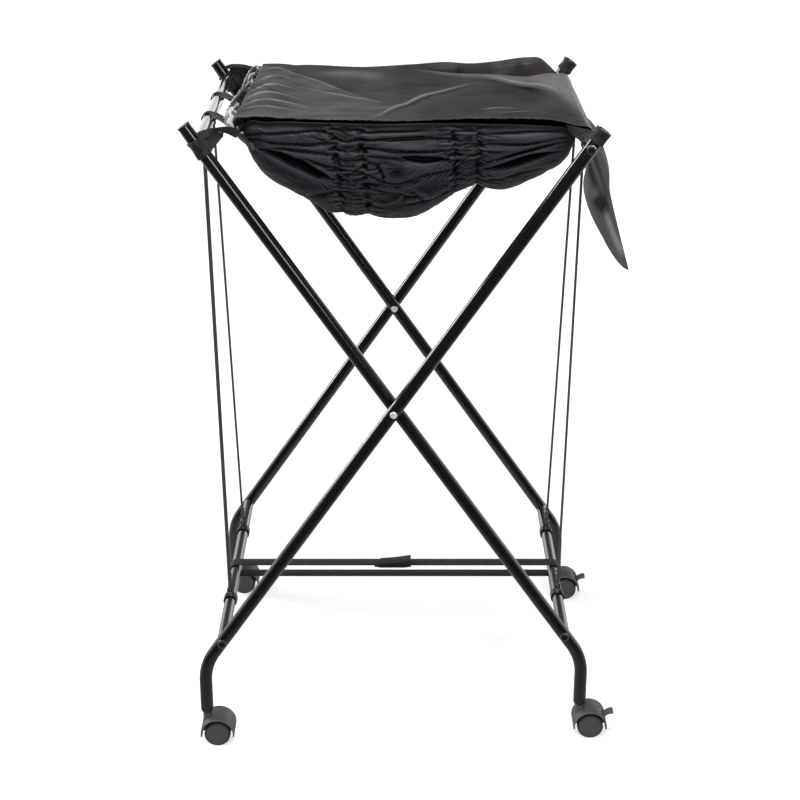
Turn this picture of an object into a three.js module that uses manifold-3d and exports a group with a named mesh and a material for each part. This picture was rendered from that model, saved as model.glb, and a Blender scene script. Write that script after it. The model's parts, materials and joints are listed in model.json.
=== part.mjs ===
// Folding laundry sorter on casters: two X-frames of steel tube cross on a pair
// of pivot screws, a three-pocket bag hangs between the top crossbars under a
// loose lid, a webbing strap and elastic cords tie the bottom crossbars.
//
// Millimetres, +X to the right, +Y to the back, +Z up. The sorter is built with
// the pivot over x = 0 and is then moved so that the middle of its footprint,
// on the floor, is the origin.

import * as THREE from 'three';
import { mergeVertices } from 'three/addons/utils/BufferGeometryUtils.js';
import Module from 'manifold-3d';

const wasm = await Module();
wasm.setup();

// ---------------------------------------------------------------- sizes

const FIT_GAP = 0.3; // between pieces that seat on each other

// leg tubes
const LEG_ANGLE = THREE.MathUtils.degToRad(55.3); // from the floor
const LEG_RADIUS = 9;
const LEG_WALL = 1.2;
const LEG_SIDE_GAP = 1.8; // between a crossed pair, for the pivot washer
const OUTER_LEG_Y = 227.3; // middle of the frame to an outer leg
const PIVOT_RISE = 460.6; // pivot above the lower ends of the legs
const LEG_PAST_BAR = 16.3; // upper tube end past the top crossbar, along X
const FOOT_UPRIGHT = 50.155; // straight upright run above the lower end of a leg
const FOOT_BEND_RADIUS = 80;
const FOOT_BEND_STEPS = 5;
const SWAGE_LENGTH = 5; // rounded-in lower end of a leg
const SWAGE_RADIUS = 7;
const SWAGE_STEPS = 3;

// crossbars and their screws
const BAR_RADIUS = 8;
const BAR_WALL = 1.2;
const BAR_PLUG = 22; // threaded plug in each end
const TOP_BAR_REACH = 248.7; // pivot to a top crossbar, along X
const BOTTOM_BAR_REACH = 240.8;
const SCREW_RADIUS = 3;
const SCREW_HEAD_RADIUS = 5.5;
const SCREW_HEAD_HEIGHT = 2.6;
const SCREW_IN_PLUG = 14;
const HEX_SOCKET_RADIUS = 2;
const HEX_SOCKET_DEPTH = 1.5;

// pivot screws and nuts
const PIVOT_HEAD_RADIUS = 5;
const PIVOT_HEAD_HEIGHT = 2.6;
const CROSS_RECESS_LENGTH = 5;
const CROSS_RECESS_WIDTH = 1.1;
const CROSS_RECESS_DEPTH = 1.2;
const NUT_RADIUS = 5;
const NUT_HEIGHT = 4;
const NUT_FACE = 1.4; // metal left over the end of the thread

// caps and sleeves at the upper ends of the legs
const CAP_FLANGE = 1.6;
const CAP_PLUG = 9;
const SLEEVE_WALL = 1.6;
const LEFT_SLEEVE_FROM = 21; // from the upper end of the leg
const LEFT_SLEEVE_TO = 46;
const RIGHT_SLEEVE_FROM = 1;
const RIGHT_SLEEVE_TO = 19;

// casters
const WHEEL_RADIUS = 18.5;
const WHEEL_WIDTH = 12.4;
const WHEEL_EDGE = 1.3; // chamfer
const AXLE_RADIUS = 3;
const AXLE_IN_WHEEL = 9.5;
const HOOD_WALL = 2;
const HOOD_CLEARANCE = 3.5; // tread to hood
const HOOD_SKIRT = 3.6; // how far the hood ends reach below the axle
const HOOD_OVERHANG = 0.8; // past the outer faces of the wheels
const HOOD_HEADROOM = 4.3; // hood to the end of the leg
const WEB_THICKNESS = 10;
const WHEEL_SIDE_GAP = 1.8;
const CASTER_TRAIL = 15; // stem to axle
const STEM_RADIUS = 4;
const BOSS_WALL = 1.7;
const BOSS_DEPTH = 14.5; // how far the stem boss reaches down inside the hood
const SOCKET_PLUG = 22; // stem socket inside the leg

// brake levers
const LEVER_PIVOT_ANGLE = THREE.MathUtils.degToRad(24);
const LEVER_WIDTH = 11;
const LEVER_HUB_RADIUS = 2.4;
const LEVER_TAB_ROOT = [1.6, -1.7]; // corners of the thumb tab, from the lever's pivot
const LEVER_TAB_PALM = [12.2, 4.3];
const LEVER_TAB_TIP = [12.6, 7.2];
const LEVER_TAB_NAIL = [11.4, 9.2];
const LEVER_TAB_BACK = [-1.8, 1.6];
const LEVER_TAB_HOLLOW = [4, 3.6]; // pull the long sides into their curves
const LEVER_TAB_CROWN = [4.5, 9.4];
const TRUNNION_RADIUS = 1.3;
const TRUNNION_IN_LUG = 3.2;
const LUG_WIDTH = 3.8;
const LUG_SKIN = 0.6; // under the trunnion bore
const LUG_HALF_ANGLE = THREE.MathUtils.degToRad(11);
const SLOT_FROM = THREE.MathUtils.degToRad(8);
const SLOT_TO = THREE.MathUtils.degToRad(52);

// elastic cords and their clips
const CORD_RADIUS = 1.5;
const LEFT_CORD_TOPS = [-136, -8]; // front and back cord, along Y
const LEFT_CORD_BOTTOMS = [-105, 118];
const RIGHT_CORD_TOPS = [-140, -26];
const RIGHT_CORD_BOTTOMS = [-94, 115];
const CLIP_WALL = 2.2;
const CLIP_WIDTH = 14;
const CLIP_NECK = 6;
const EYELET_RADIUS = 4.5;
const EYELET_HOLE = 2.2;
const EYELET_THICKNESS = 4.5;

// webbing strap round the bottom crossbars
const STRAP_WIDTH = 20;
const STRAP_THICKNESS = 1.6;
const STRAP_Y = -4;

// bag
const BAG_LEFT_GAP = 33.7; // left crossbar to the rim, bridged by the loops
const BAG_FRONT = -155;
const BAG_BACK = 195;
const BAG_DEPTH = 118;
const BAG_TAPER = 34; // how much narrower the bottom is, at each side
const BAG_WALL = 3;
const BAG_FLOOR = 3;
const BAG_POCKETS = 3;
const LOOP_WIDTH = 10;
const LOOP_WALL = 1.6;
const LOOP_PLACES = [-42, 110];

// lid
const LID_LEFT_OVERHANG = 21; // past the left rim of the bag
const LID_OVERHANG = 5; // past the right crossbar
const LID_FRONT = -150;
const LID_BACK = 190;
const LID_THICKNESS = 3;
const FLAP_FRONT = -196;
const FLAP_BACK = -30;
const FLAP_TIP_Y = -186;
const FLAP_DROP = 176;
const FLAP_LEAN = 43; // how far out the tip swings

// ---------------------------------------------------------------- worked out

const legBore = LEG_RADIUS - LEG_WALL;
const innerLegY = OUTER_LEG_Y - 2 * LEG_RADIUS - LEG_SIDE_GAP;
const hoodRadius = WHEEL_RADIUS + HOOD_CLEARANCE + HOOD_WALL;
const hoodInner = WHEEL_RADIUS + HOOD_CLEARANCE;
const hoodCrown = WHEEL_RADIUS + hoodRadius;
const footEnd = hoodCrown + HOOD_HEADROOM;
const pivotZ = footEnd + PIVOT_RISE;
const slope = Math.tan(LEG_ANGLE);
const footTurn = Math.PI / 2 - LEG_ANGLE;
const bendRise = FOOT_BEND_RADIUS * Math.tan(footTurn / 2); // bend's end to its corner
const footReach = (PIVOT_RISE - FOOT_UPRIGHT - bendRise) / slope; // pivot to a foot, along X
const legTopReach = TOP_BAR_REACH + LEG_PAST_BAR;
const topBarZ = pivotZ + TOP_BAR_REACH * slope;
const bottomBarZ = pivotZ - BOTTOM_BAR_REACH * slope;
const screwHole = SCREW_RADIUS + FIT_GAP;
const coping = LEG_RADIUS + FIT_GAP;
const collarBore = BAR_RADIUS + FIT_GAP + 0.1; // round a crossbar
const barTop = topBarZ + BAR_RADIUS + FIT_GAP; // what lies across the top crossbars

const LEG = 12; // sides of the tubes
const ROUND = 10; // sides of small round pieces
const COPE = 16; // sides of the tool that shapes a crossbar end
const WHEEL = 20; // flats round a wheel

// ---------------------------------------------------------------- solids

// One closed skin: shared corners merged, slivers at the poles dropped, faces out.
function skin(geometry) {
  const bare = new THREE.BufferGeometry();
  bare.setAttribute('position', geometry.getAttribute('position'));
  if (geometry.index) bare.setIndex(geometry.index);
  const merged = mergeVertices(bare, 1e-4);
  const at = merged.getAttribute('position');
  const from = Array.from(merged.index.array);
  const corners = [];
  let volume = 0;
  const [a, b, c] = [new THREE.Vector3(), new THREE.Vector3(), new THREE.Vector3()];
  for (let i = 0; i < from.length; i += 3) {
    const [p, q, r] = from.slice(i, i + 3);
    if (p === q || q === r || r === p) continue;
    corners.push(p, q, r);
    a.fromBufferAttribute(at, p);
    b.fromBufferAttribute(at, q);
    c.fromBufferAttribute(at, r);
    volume += a.dot(b.cross(c));
  }
  if (volume < 0) corners.reverse();
  merged.setIndex(corners);
  return merged;
}

function toSolid(geometry) {
  const closed = skin(geometry);
  return new wasm.Manifold(new wasm.Mesh({
    numProp: 3,
    vertProperties: Float32Array.from(closed.getAttribute('position').array),
    triVerts: Uint32Array.from(closed.index.array),
  }));
}

function toGeometry(solid) {
  const mesh = solid.getMesh();
  const geometry = new THREE.BufferGeometry();
  geometry.setAttribute('position', new THREE.BufferAttribute(mesh.vertProperties, 3));
  geometry.setIndex(Array.from(mesh.triVerts));
  geometry.computeVertexNormals();
  return geometry;
}

const join = (...geometries) => toGeometry(
  geometries.map(toSolid).reduce((whole, next) => whole.add(next)),
);

const cut = (geometry, ...tools) => toGeometry(
  tools.map(toSolid).reduce((rest, tool) => rest.subtract(tool), toSolid(geometry)),
);

// Round bar along Y, centred on (x, y, z).
function rodY(radius, length, x, y, z, sides = ROUND) {
  return new THREE.CylinderGeometry(radius, radius, length, sides).translate(x, y, z);
}

// Round bar along Z, from its lower end up.
function rodZ(radius, length, x, y, z, sides = LEG) {
  return new THREE.CylinderGeometry(radius, radius, length, sides)
    .rotateX(Math.PI / 2)
    .translate(x, y, z + length / 2);
}

// Outline drawn in X and Z, carried along Y and centred on y.
function slab(shape, width, y = 0, curveSegments = 6) {
  return new THREE.ExtrudeGeometry(shape, { depth: width, bevelEnabled: false, curveSegments })
    .rotateX(Math.PI / 2)
    .translate(0, y + width / 2, 0);
}

function ring(outer, inner, x = 0, z = 0) {
  const shape = new THREE.Shape().absarc(x, z, outer, 0, 2 * Math.PI);
  shape.holes.push(new THREE.Path().absarc(x, z, inner, 0, 2 * Math.PI));
  return shape;
}

// Part of a ring between two angles, drawn round the origin.
function sector(outer, inner, from, to) {
  const shape = new THREE.Shape().absarc(0, 0, outer, from, to, false);
  shape.absarc(0, 0, inner, to, from, true);
  shape.closePath();
  return shape;
}

// Turned piece: [radius, height] pairs round Y, later laid along another axis.
function turned(profile, sides = ROUND, startAngle = 0) {
  return new THREE.LatheGeometry(
    profile.map(([r, y]) => new THREE.Vector2(r, y)), sides, startAngle,
  );
}

// ---------------------------------------------------------------- finishes

const finish = (color, roughness, metalness) => (
  new THREE.MeshStandardMaterial({ color, roughness, metalness })
);
const FINISHES = {
  powderCoat: () => finish(0x141416, 0.25, 0.2),
  zinc: () => finish(0xc8c8ca, 0.25, 1),
  blackScrew: () => finish(0x1b1b1d, 0.35, 0.8),
  steel: () => finish(0xb8b8ba, 0.3, 1),
  blackPlastic: () => finish(0x1d1d1f, 0.45, 0),
  wheelGrey: () => finish(0x3d3d42, 0.55, 0),
  webbing: () => finish(0x18181a, 0.85, 0),
  elastic: () => finish(0x2a2223, 0.8, 0),
  nylon: () => finish(0x1a191c, 0.4, 0),
  satin: () => finish(0x3c3b3f, 0.4, 0),
};

const sorter = new THREE.Group();

function add(group, name, geometry, finishName, place = [0, 0, 0]) {
  const mesh = new THREE.Mesh(skin(geometry), FINISHES[finishName]());
  mesh.name = name;
  mesh.position.set(...place);
  group.add(mesh);
  return mesh;
}

// ---------------------------------------------------------------- legs

// Centre line through chosen points, so that rings fall on the bend and not
// along the straight runs. Each knot is a point and the direction there.
class KnotPath extends THREE.Curve {
  constructor(knots) {
    super();
    this.knots = knots;
  }

  getPointAt(u, target = new THREE.Vector3()) {
    return target.copy(this.knots[Math.round(u * (this.knots.length - 1))].at);
  }

  getPoint(u, target) {
    return this.getPointAt(u, target);
  }

  getTangentAt(u, target = new THREE.Vector3()) {
    return target.copy(this.knots[Math.round(u * (this.knots.length - 1))].along);
  }
}

// Direction down a leg whose top is at side times +X.
const legDirection = (side) => (
  new THREE.Vector3(-side * Math.cos(LEG_ANGLE), 0, -Math.sin(LEG_ANGLE))
);

const legTop = (side, y) => (
  new THREE.Vector3(side * legTopReach, y, pivotZ + legTopReach * slope)
);

function legPath(side, y) {
  const down = legDirection(side);
  const knots = [{ at: legTop(side, y), along: down }];
  const bendZ = footEnd + FOOT_UPRIGHT;
  const bendX = footReach - FOOT_BEND_RADIUS;
  for (let i = 0; i <= FOOT_BEND_STEPS; i += 1) {
    const left = footTurn * (1 - i / FOOT_BEND_STEPS); // turn still to go
    knots.push({
      at: new THREE.Vector3(
        -side * (bendX + FOOT_BEND_RADIUS * Math.cos(left)),
        y,
        bendZ + FOOT_BEND_RADIUS * Math.sin(left),
      ),
      along: new THREE.Vector3(-side * Math.sin(left), 0, -Math.cos(left)),
    });
  }
  for (let i = 0; i <= SWAGE_STEPS; i += 1) {
    const rise = SWAGE_LENGTH * Math.cos((i / SWAGE_STEPS) * (Math.PI / 2));
    knots.push({
      at: new THREE.Vector3(-side * footReach, y, footEnd + rise),
      along: new THREE.Vector3(0, 0, -1),
    });
  }
  return new KnotPath(knots);
}

// Rounds the lower end of a leg in towards its axis, on a quarter ellipse.
function swage(geometry, side, y) {
  const at = geometry.getAttribute('position');
  const narrow = SWAGE_RADIUS / LEG_RADIUS;
  for (let i = 0; i < at.count; i += 1) {
    const left = 1 - (at.getZ(i) - footEnd) / SWAGE_LENGTH;
    if (left > 0) {
      const scale = narrow + (1 - narrow) * Math.sqrt(Math.max(1 - left * left, 0));
      at.setX(i, -side * footReach + (at.getX(i) + side * footReach) * scale);
      at.setY(i, y + (at.getY(i) - y) * scale);
    }
  }
}

function leg(side, y) {
  const path = legPath(side, y);
  const tube = new THREE.ExtrudeGeometry(ring(LEG_RADIUS, legBore), {
    steps: path.knots.length - 1,
    extrudePath: path,
    curveSegments: LEG / 2,
  });
  swage(tube, side, y);
  const hole = (x, z) => rodY(screwHole, 3 * LEG_RADIUS, x, y, z);
  return cut(
    tube,
    hole(0, pivotZ),
    hole(side * TOP_BAR_REACH, topBarZ),
    hole(-side * BOTTOM_BAR_REACH, bottomBarZ),
  );
}

// Turned piece laid along a leg: its height runs down from the upper end.
function alongLeg(geometry, side, y) {
  const turn = new THREE.Quaternion()
    .setFromUnitVectors(new THREE.Vector3(0, 1, 0), legDirection(side));
  return geometry.applyQuaternion(turn).translate(...legTop(side, y));
}

// ---------------------------------------------------------------- crossbars

function crossbar(x, z, legY, legSide) {
  const half = legY - Math.sqrt(Math.max(coping ** 2 - BAR_RADIUS ** 2, 0)) - FIT_GAP;
  const bore = BAR_RADIUS - BAR_WALL;
  const plugEnd = half - BAR_PLUG;
  const bar = turned([
    [screwHole, -half], [BAR_RADIUS, -half], [BAR_RADIUS, half], [screwHole, half],
    [screwHole, plugEnd], [bore, plugEnd], [bore, -plugEnd], [screwHole, -plugEnd],
    [screwHole, -half],
  ], LEG).translate(x, 0, z);
  const cope = (y) => new THREE.CylinderGeometry(coping, coping, 6 * BAR_RADIUS, COPE)
    .applyQuaternion(new THREE.Quaternion()
      .setFromUnitVectors(new THREE.Vector3(0, 1, 0), legDirection(legSide)))
    .translate(x, y, z);
  return cut(bar, cope(-legY), cope(legY));
}

// Button-head screw through a leg into a crossbar's plug; out is -1 for the front.
function barScrew(x, z, legY, out) {
  const seat = LEG_RADIUS + FIT_GAP;
  const top = seat + SCREW_HEAD_HEIGHT;
  const screw = turned([
    [0, -(LEG_RADIUS + SCREW_IN_PLUG)], [SCREW_RADIUS, -(LEG_RADIUS + SCREW_IN_PLUG)],
    [SCREW_RADIUS, seat], [SCREW_HEAD_RADIUS, seat],
    [SCREW_HEAD_RADIUS, seat + SCREW_HEAD_HEIGHT * 0.3],
    [SCREW_HEAD_RADIUS * 0.75, top], [0, top],
  ]);
  const socket = new THREE.CylinderGeometry(
    HEX_SOCKET_RADIUS, HEX_SOCKET_RADIUS, 2 * HEX_SOCKET_DEPTH, 6,
  ).translate(0, top, 0);
  const made = cut(screw, socket);
  if (out < 0) made.rotateX(Math.PI);
  return made.translate(x, out * legY, z);
}

function frame(side, legY, legName, topName, bottomName) {
  const group = new THREE.Group();
  const bars = [
    { name: topName, x: side * TOP_BAR_REACH, z: topBarZ },
    { name: bottomName, x: -side * BOTTOM_BAR_REACH, z: bottomBarZ },
  ];
  for (const [end, out] of [['front', -1], ['back', 1]]) {
    add(group, `leg_${legName}_${end}`, leg(side, out * legY), 'powderCoat');
    for (const bar of bars) {
      add(group, `screw_${bar.name}_${end}`, barScrew(bar.x, bar.z, legY, out), 'blackScrew');
    }
  }
  for (const bar of bars) {
    add(group, `crossbar_${bar.name}`, crossbar(bar.x, bar.z, legY, side), 'zinc');
  }
  return group;
}

// ---------------------------------------------------------------- pivots

function pivotScrew(out) {
  const seat = OUTER_LEG_Y + LEG_RADIUS + FIT_GAP;
  const tip = innerLegY - LEG_RADIUS - (NUT_HEIGHT - NUT_FACE - FIT_GAP);
  const top = seat + PIVOT_HEAD_HEIGHT;
  const screw = turned([
    [0, tip], [SCREW_RADIUS, tip], [SCREW_RADIUS, seat], [PIVOT_HEAD_RADIUS, seat],
    [PIVOT_HEAD_RADIUS, seat + PIVOT_HEAD_HEIGHT * 0.4],
    [PIVOT_HEAD_RADIUS * 0.7, top], [0, top],
  ]);
  const slot = (turn) => new THREE.BoxGeometry(
    CROSS_RECESS_LENGTH, 2 * CROSS_RECESS_DEPTH, CROSS_RECESS_WIDTH,
  ).rotateY(turn).translate(0, top, 0);
  const made = cut(screw, slot(Math.PI / 4), slot(-Math.PI / 4));
  if (out < 0) made.rotateX(Math.PI);
  return made.translate(0, 0, pivotZ);
}

// Closed round nut on the inner face of the inner leg, with a dimple in its face.
function pivotNut(out) {
  const seat = innerLegY - LEG_RADIUS - FIT_GAP;
  const face = seat - NUT_HEIGHT;
  const boreEnd = face + NUT_FACE;
  const nut = turned([
    [0, face + NUT_FACE / 2], [NUT_RADIUS * 0.3, face], [NUT_RADIUS * 0.85, face],
    [NUT_RADIUS, face + NUT_HEIGHT * 0.3], [NUT_RADIUS, seat], [screwHole, seat],
    [screwHole, boreEnd], [0, boreEnd],
  ]);
  if (out < 0) nut.rotateX(Math.PI);
  return nut.translate(0, 0, pivotZ);
}

// ---------------------------------------------------------------- leg tops

function endCap(side, y) {
  const plug = legBore - FIT_GAP;
  return alongLeg(turned([
    [0, -FIT_GAP - CAP_FLANGE], [LEG_RADIUS - 1, -FIT_GAP - CAP_FLANGE],
    [LEG_RADIUS, -FIT_GAP - CAP_FLANGE + 0.8], [LEG_RADIUS, -FIT_GAP],
    [plug, -FIT_GAP], [plug, CAP_PLUG], [0, CAP_PLUG],
  ], LEG), side, y);
}

// Webbing sleeve round a leg, open where a screw head and a crossbar pass.
function sleeve(side, y, from, to) {
  const inner = coping + 0.2;
  const outer = inner + SLEEVE_WALL;
  const tube = alongLeg(turned([
    [inner, from], [outer, from], [outer, to], [inner, to], [inner, from],
  ], LEG), side, y);
  const out = Math.sign(y);
  const reach = 2 * outer;
  const pass = (radius, way) => rodY(
    radius, reach, side * TOP_BAR_REACH, y + (way * reach) / 2, topBarZ, LEG,
  );
  return cut(
    tube,
    pass(SCREW_HEAD_RADIUS + 2 * FIT_GAP, out),
    pass(BAR_RADIUS + 2 * FIT_GAP, -out),
  );
}

// ---------------------------------------------------------------- casters

// Casters are drawn round the axle, with the stem at x = -CASTER_TRAIL.
const webHalf = WEB_THICKNESS / 2;
const wheelInner = webHalf + WHEEL_SIDE_GAP;
const hoodWidth = 2 * (wheelInner + WHEEL_WIDTH + HOOD_OVERHANG);
const bossRadius = STEM_RADIUS + FIT_GAP + BOSS_WALL;
const bossTop = footEnd - FIT_GAP - WHEEL_RADIUS;
const hoodOverStem = Math.sqrt(hoodRadius ** 2 - CASTER_TRAIL ** 2);
const bossBottom = hoodOverStem - BOSS_DEPTH;
const bossFloor = 2;

const lugInner = WHEEL_RADIUS + 0.5;
const trunnionBore = TRUNNION_RADIUS + FIT_GAP;
const leverPivotRadius = lugInner + LUG_SKIN + trunnionBore;
const leverPivot = {
  x: leverPivotRadius * Math.cos(LEVER_PIVOT_ANGLE),
  z: leverPivotRadius * Math.sin(LEVER_PIVOT_ANGLE),
};
const slotWidth = LEVER_WIDTH + 6 * FIT_GAP;

function plainHood() {
  const skirt = Math.asin(HOOD_SKIRT / hoodRadius);
  const shell = slab(sector(hoodRadius, hoodInner, -skirt, Math.PI + skirt), hoodWidth, 0, 9);
  const halfDisc = new THREE.Shape().absarc(0, 0, hoodInner + HOOD_WALL / 2, 0, Math.PI);
  halfDisc.closePath();
  const web = slab(halfDisc, WEB_THICKNESS, 0, 7);
  const axleBoss = rodY(2.2 * AXLE_RADIUS, WEB_THICKNESS, 0, 0, 0);
  const boss = rodZ(bossRadius, bossTop - bossBottom, -CASTER_TRAIL, 0, bossBottom);
  return join(shell, web, axleBoss, boss);
}

function hood(withLever) {
  const stemBore = rodZ(
    STEM_RADIUS + FIT_GAP, bossTop - bossBottom, -CASTER_TRAIL, 0, bossBottom + bossFloor,
  );
  const axleBore = rodY(AXLE_RADIUS + FIT_GAP, 2 * hoodWidth, 0, 0, 0);
  if (!withLever) return cut(plainHood(), stemBore, axleBore);
  const lugs = [-1, 1].map((way) => slab(
    sector(
      hoodInner + HOOD_WALL / 2, lugInner,
      LEVER_PIVOT_ANGLE - LUG_HALF_ANGLE, LEVER_PIVOT_ANGLE + LUG_HALF_ANGLE,
    ),
    LUG_WIDTH, (way * (slotWidth + LUG_WIDTH)) / 2, 3,
  ));
  const slot = slab(sector(hoodRadius + 2, lugInner, SLOT_FROM, SLOT_TO), slotWidth, 0, 4);
  const hubRoom = rodY(LEVER_HUB_RADIUS + 2 * FIT_GAP, slotWidth, leverPivot.x, 0, leverPivot.z);
  const trunnionHole = rodY(
    trunnionBore, slotWidth + 2 * (TRUNNION_IN_LUG + FIT_GAP), leverPivot.x, 0, leverPivot.z,
  );
  return cut(join(plainHood(), ...lugs), stemBore, axleBore, slot, hubRoom, trunnionHole);
}

// Outline of the thumb tab, drawn round the lever's pivot.
function leverTab() {
  const tab = new THREE.Shape();
  tab.moveTo(...LEVER_TAB_ROOT);
  tab.quadraticCurveTo(...LEVER_TAB_HOLLOW, ...LEVER_TAB_PALM);
  tab.lineTo(...LEVER_TAB_TIP);
  tab.lineTo(...LEVER_TAB_NAIL);
  tab.quadraticCurveTo(...LEVER_TAB_CROWN, ...LEVER_TAB_BACK);
  tab.closePath();
  return tab;
}

function brakeLever() {
  const lever = join(
    slab(leverTab(), LEVER_WIDTH, 0, 4),
    rodY(LEVER_HUB_RADIUS, LEVER_WIDTH, 0, 0, 0),
    rodY(TRUNNION_RADIUS, slotWidth + 2 * TRUNNION_IN_LUG, 0, 0, 0),
  );
  return lever.translate(leverPivot.x, 0, leverPivot.z);
}

// Wheel with a blind bore; its treads are flats that stand off by the radius.
function wheel() {
  const flats = 1 / Math.cos(Math.PI / WHEEL);
  const radius = WHEEL_RADIUS * flats;
  const bore = (AXLE_RADIUS + FIT_GAP) * flats;
  const boreEnd = AXLE_IN_WHEEL + 2 * FIT_GAP;
  return turned([
    [0, boreEnd], [bore, boreEnd], [bore, 0], [radius - WHEEL_EDGE, 0],
    [radius, WHEEL_EDGE], [radius, WHEEL_WIDTH - WHEEL_EDGE],
    [radius - WHEEL_EDGE, WHEEL_WIDTH], [0, WHEEL_WIDTH],
  ], WHEEL, Math.PI / WHEEL);
}

// Swivel pin below, socket plug above, inside the rounded-in end of the leg.
function stem() {
  const neck = SWAGE_RADIUS * (legBore / LEG_RADIUS) - 2 * FIT_GAP;
  const plug = legBore - 2 * FIT_GAP;
  const pinEnd = WHEEL_RADIUS + bossBottom + bossFloor + FIT_GAP;
  const plugFrom = footEnd + SWAGE_LENGTH + FIT_GAP;
  return turned([
    [0, pinEnd], [STEM_RADIUS, pinEnd], [STEM_RADIUS, footEnd + 2 * FIT_GAP],
    [neck, footEnd + 2 * FIT_GAP], [neck, plugFrom], [plug, plugFrom],
    [plug, plugFrom + SOCKET_PLUG], [0, plugFrom + SOCKET_PLUG],
  ]).rotateX(Math.PI / 2);
}

function caster(name, footX, footY, withLever) {
  const group = new THREE.Group();
  group.position.set(footX, footY, 0);
  add(group, `stem_${name}`, stem(), 'steel');
  const hub = new THREE.Group();
  hub.position.set(CASTER_TRAIL, 0, WHEEL_RADIUS);
  group.add(hub);
  add(hub, `hood_${name}`, hood(withLever), 'blackPlastic');
  add(hub, `axle_${name}`, rodY(AXLE_RADIUS, 2 * (wheelInner + AXLE_IN_WHEEL), 0, 0, 0), 'steel');
  const outward = Math.sign(footY);
  for (const [face, way] of [['outer', outward], ['inner', -outward]]) {
    const turnedWheel = wheel();
    if (way < 0) turnedWheel.rotateX(Math.PI);
    add(hub, `wheel_${name}_${face}`, turnedWheel, 'wheelGrey', [0, way * wheelInner, 0]);
  }
  if (withLever) add(hub, `brake_lever_${name}`, brakeLever(), 'blackPlastic');
  return group;
}

// ---------------------------------------------------------------- cords and clips

const eyeletRise = collarBore + CLIP_WALL + CLIP_NECK;

function clip(x, y) {
  const collar = slab(ring(collarBore + CLIP_WALL, collarBore), CLIP_WIDTH);
  const neck = new THREE.BoxGeometry(EYELET_RADIUS, EYELET_THICKNESS, CLIP_NECK + CLIP_WALL)
    .translate(0, 0, collarBore + (CLIP_NECK + CLIP_WALL) / 2 + 0.4);
  const eyelet = slab(ring(EYELET_RADIUS, EYELET_HOLE, 0, eyeletRise), EYELET_THICKNESS);
  const neckSolid = cut(neck, rodY(EYELET_HOLE + 0.2, 2 * CLIP_WIDTH, 0, 0, eyeletRise));
  return join(collar, neckSolid, eyelet).translate(x, y, bottomBarZ);
}

function cord(side, topY, bottomY) {
  const top = new THREE.Vector3(side * TOP_BAR_REACH, topY, topBarZ - BAR_RADIUS - 2 * FIT_GAP);
  const bottom = new THREE.Vector3(
    side * BOTTOM_BAR_REACH, bottomY, bottomBarZ + eyeletRise + EYELET_RADIUS + 2 * FIT_GAP,
  );
  const length = top.distanceTo(bottom);
  const along = top.clone().sub(bottom).normalize();
  return new THREE.CylinderGeometry(CORD_RADIUS, CORD_RADIUS, length, 8)
    .applyQuaternion(new THREE.Quaternion()
      .setFromUnitVectors(new THREE.Vector3(0, 1, 0), along))
    .translate(...bottom.add(top).multiplyScalar(0.5));
}

// ---------------------------------------------------------------- strap

// Flat loop: two straight runs and a half turn round each bottom crossbar.
function strap() {
  const loop = (radius) => {
    const path = new THREE.Shape();
    path.absarc(BOTTOM_BAR_REACH, bottomBarZ, radius, -Math.PI / 2, Math.PI / 2, false);
    path.absarc(-BOTTOM_BAR_REACH, bottomBarZ, radius, Math.PI / 2, (3 * Math.PI) / 2, false);
    path.closePath();
    return path;
  };
  const band = loop(collarBore + STRAP_THICKNESS);
  band.holes.push(loop(collarBore));
  return slab(band, STRAP_WIDTH, STRAP_Y);
}

// ---------------------------------------------------------------- bag

const bagLeft = -TOP_BAR_REACH + BAG_LEFT_GAP;
const bagRight = TOP_BAR_REACH - collarBore;
const bagBottom = barTop - BAG_DEPTH;

// Upright outline between two X positions, narrowing downwards with the bag.
function bagOutline(left, right, bottom, top) {
  const lean = BAG_TAPER / BAG_DEPTH;
  const middle = (bagLeft + bagRight) / 2;
  const half = (bagRight - bagLeft) / 2;
  const at = (x, z) => middle + (x - middle) * (1 - (lean * (barTop - z)) / half);
  return new THREE.Shape([
    new THREE.Vector2(at(left, bottom), bottom),
    new THREE.Vector2(at(right, bottom), bottom),
    new THREE.Vector2(at(right, top), top),
    new THREE.Vector2(at(left, top), top),
  ]);
}

function bag() {
  const depth = BAG_BACK - BAG_FRONT;
  const middleY = (BAG_BACK + BAG_FRONT) / 2;
  const body = slab(bagOutline(bagLeft, bagRight, bagBottom, barTop), depth, middleY);
  const pitch = (bagRight - bagLeft - BAG_WALL) / BAG_POCKETS;
  const pockets = [];
  for (let i = 0; i < BAG_POCKETS; i += 1) {
    const from = bagLeft + BAG_WALL + i * pitch;
    pockets.push(slab(
      bagOutline(from, from + pitch - BAG_WALL, bagBottom + BAG_FLOOR, barTop + BAG_FLOOR),
      depth - 2 * BAG_WALL, middleY,
    ));
  }
  const tieFrom = -TOP_BAR_REACH + collarBore + LOOP_WALL / 2;
  const tieTo = bagLeft + 1.5 * BAG_WALL;
  const loops = LOOP_PLACES.map((y) => join(
    slab(ring(collarBore + LOOP_WALL, collarBore, -TOP_BAR_REACH, topBarZ), LOOP_WIDTH, y),
    new THREE.BoxGeometry(tieTo - tieFrom, LOOP_WIDTH, LOOP_WALL)
      .translate((tieFrom + tieTo) / 2, y, topBarZ),
  ));
  return join(cut(body, ...pockets), ...loops);
}

// ---------------------------------------------------------------- lid

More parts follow.
